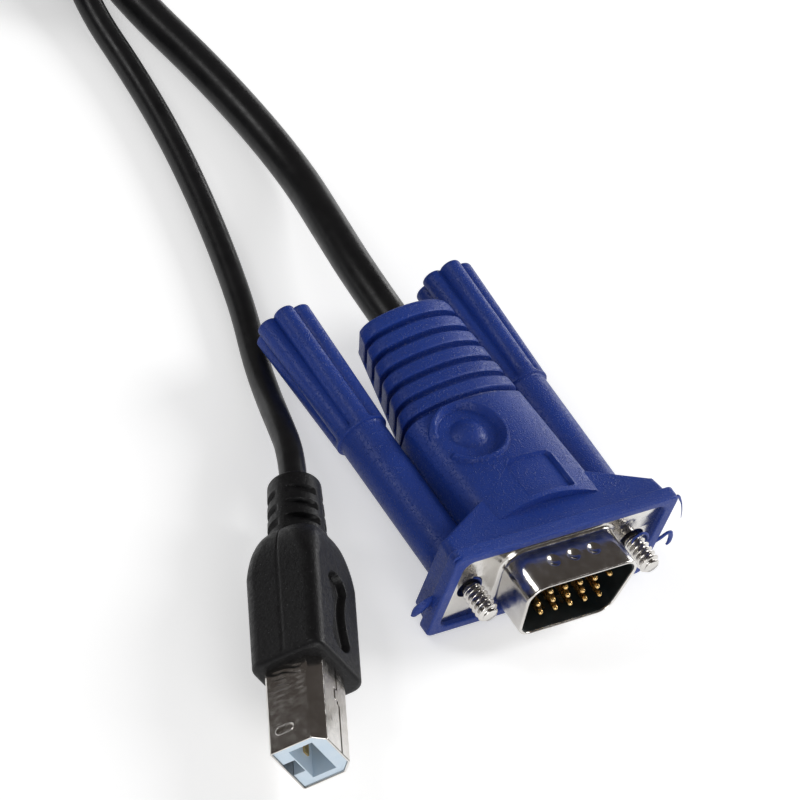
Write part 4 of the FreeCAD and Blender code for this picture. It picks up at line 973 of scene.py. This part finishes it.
def squareShellPart():
    # outlines along y with a rolled mouth; ripples and a stepped seam pressed into the sheet
    plan = squarePlan
    front, sheet, hold = -plan["reach"], plan["sheet"], plan["hold"]
    lip = sheet / 2
    rows = [(hold, 0.0)] + [(y, 0.0) for y in np.linspace(plan["rows"][0], front + lip, plan["rows"][1])]
    rows += lipRows(front, lip, 9)
    rows += [(front + plan["inside"], sheet), (hold, sheet), (hold, 0.0)]
    points = stackLoops([(y, squareLoop(inset)) for y, inset in rows])
    x, y, z = np.moveaxis(points.copy(), -1, 0)
    slack = 0.01
    outside = np.array([inset < slack for _, inset in rows])[:, None]
    # ripples: slanted waves that fade away from the grip block
    ripple = plan["ripple"]
    leftFace = (x < -plan["half"] + slack) * outside
    inward = ripple["half"] - np.abs(z - ripple["middle"])
    fade = ease(y, *ripple["along"]) * ease(inward, 0, ripple["fade"])
    sway, beat = ripple["wander"]
    phase = 2 * np.pi * y / ripple["pitch"] + sway * np.sin(beat * z) + ripple["slant"] * z
    points[..., 0] += leftFace * ripple["depth"] * fade * (1 + np.sin(phase))
    # the seam: a narrow line along the top face with one stepped catch
    seam = plan["seam"]
    topFace = (z > plan["top"] - slack) * outside
    catch = seam["catch"] * ease(np.abs(y - seam["catchAt"]), *seam["catchHalf"])
    crease = np.abs(x - seam["at"] + seam["step"] * ease(y, *seam["stepFrom"]) + catch)
    points[..., 2] -= topFace * seam["depth"] * (1 - ease(crease, *seam["half"]))
    return gridPart(points)


def ovalRow(grown, x):
    # a loop with round ends on a flank, grown outwards by a little
    y, z, run, radius = squarePlan["oval"]
    angle = fullTurn(squarePlan["ovalGrid"])
    size = radius + grown
    loop = np.column_stack([size * np.sin(angle) + y, size * np.cos(angle) + run * np.sign(np.cos(angle)) + z])
    return np.insert(loop, 0, x, axis=1)


def ovalMiddle(row):
    # the row's middle, once for each of its places
    return np.broadcast_to(row.mean(axis=0), row.shape)


def ovalPart():
    # a slot with round ends, across both flanks of the shell
    left, right = [ovalRow(0, side * (squarePlan["half"] + 1)) for side in (-1, 1)]
    return gridPart(np.stack([ovalMiddle(left), left, right, ovalMiddle(right)]))


def ovalRim(side):
    # the slot's burred edge: a half round turned out round the slot, with a sheet a little way in behind it
    plan = rimPlan
    flank = squarePlan["half"]
    middle, wide, high = plan["ridge"]
    pairs = [plan["foot"]]
    pairs += [(middle + wide * np.cos(a), high * np.sin(a)) for a in np.linspace(0, np.pi, plan["steps"])]
    rows = [ovalRow(grown, side * (flank + rise)) for grown, rise in pairs + [plan["inside"]]]
    return gridPart(np.stack(rows + [ovalMiddle(rows[-1])]))


makePiece("squareShell", [squareShellPart()], places["square"], "plated_steel", 40, "square_plug_shell",
          holes=[ovalPart()])
makePiece("squareSlots", [ovalRim(-1), ovalRim(1)], places["square"], "plated_steel", 50)

# ties: flat bands with round corners closed round the coil
tiePlan = {"across": 4.0, "thick": 0.8, "edge": 0.2, "corner": 2.4, "middle": 27.45, "half": (10.45, 9.15)}


def tiePart():
    # a round-cornered loop in the upright plane, its flat band turned over at both edges
    halfLong, halfHigh = tiePlan["half"]
    wide, thick, edge = tiePlan["across"] / 2, tiePlan["thick"], tiePlan["edge"]
    rows = [(-wide + edge, 0.0), (wide - edge, 0.0), (wide, edge), (wide, thick - edge), (wide - edge, thick),
            (-wide + edge, thick), (-wide, thick - edge), (-wide, edge), (-wide + edge, 0.0)]
    corner = tiePlan["corner"]
    return gridPart(stackLoops([(x, roundBox(halfLong - inset, halfHigh - inset, corner - inset, (20, 20), 10))
                                for x, inset in rows], axis=0))


for name, node, sign in (("nearTie", "near_coil_tie", -1), ("farTie", "far_coil_tie", 1)):
    x, y = coilPlan["centre"]
    where = {"turn": np.eye(3), "move": (x, y + sign * tiePlan["middle"], tiePlan["half"][1])}
    makePiece(name, [tiePart()], where, "tie_band", 40, node)
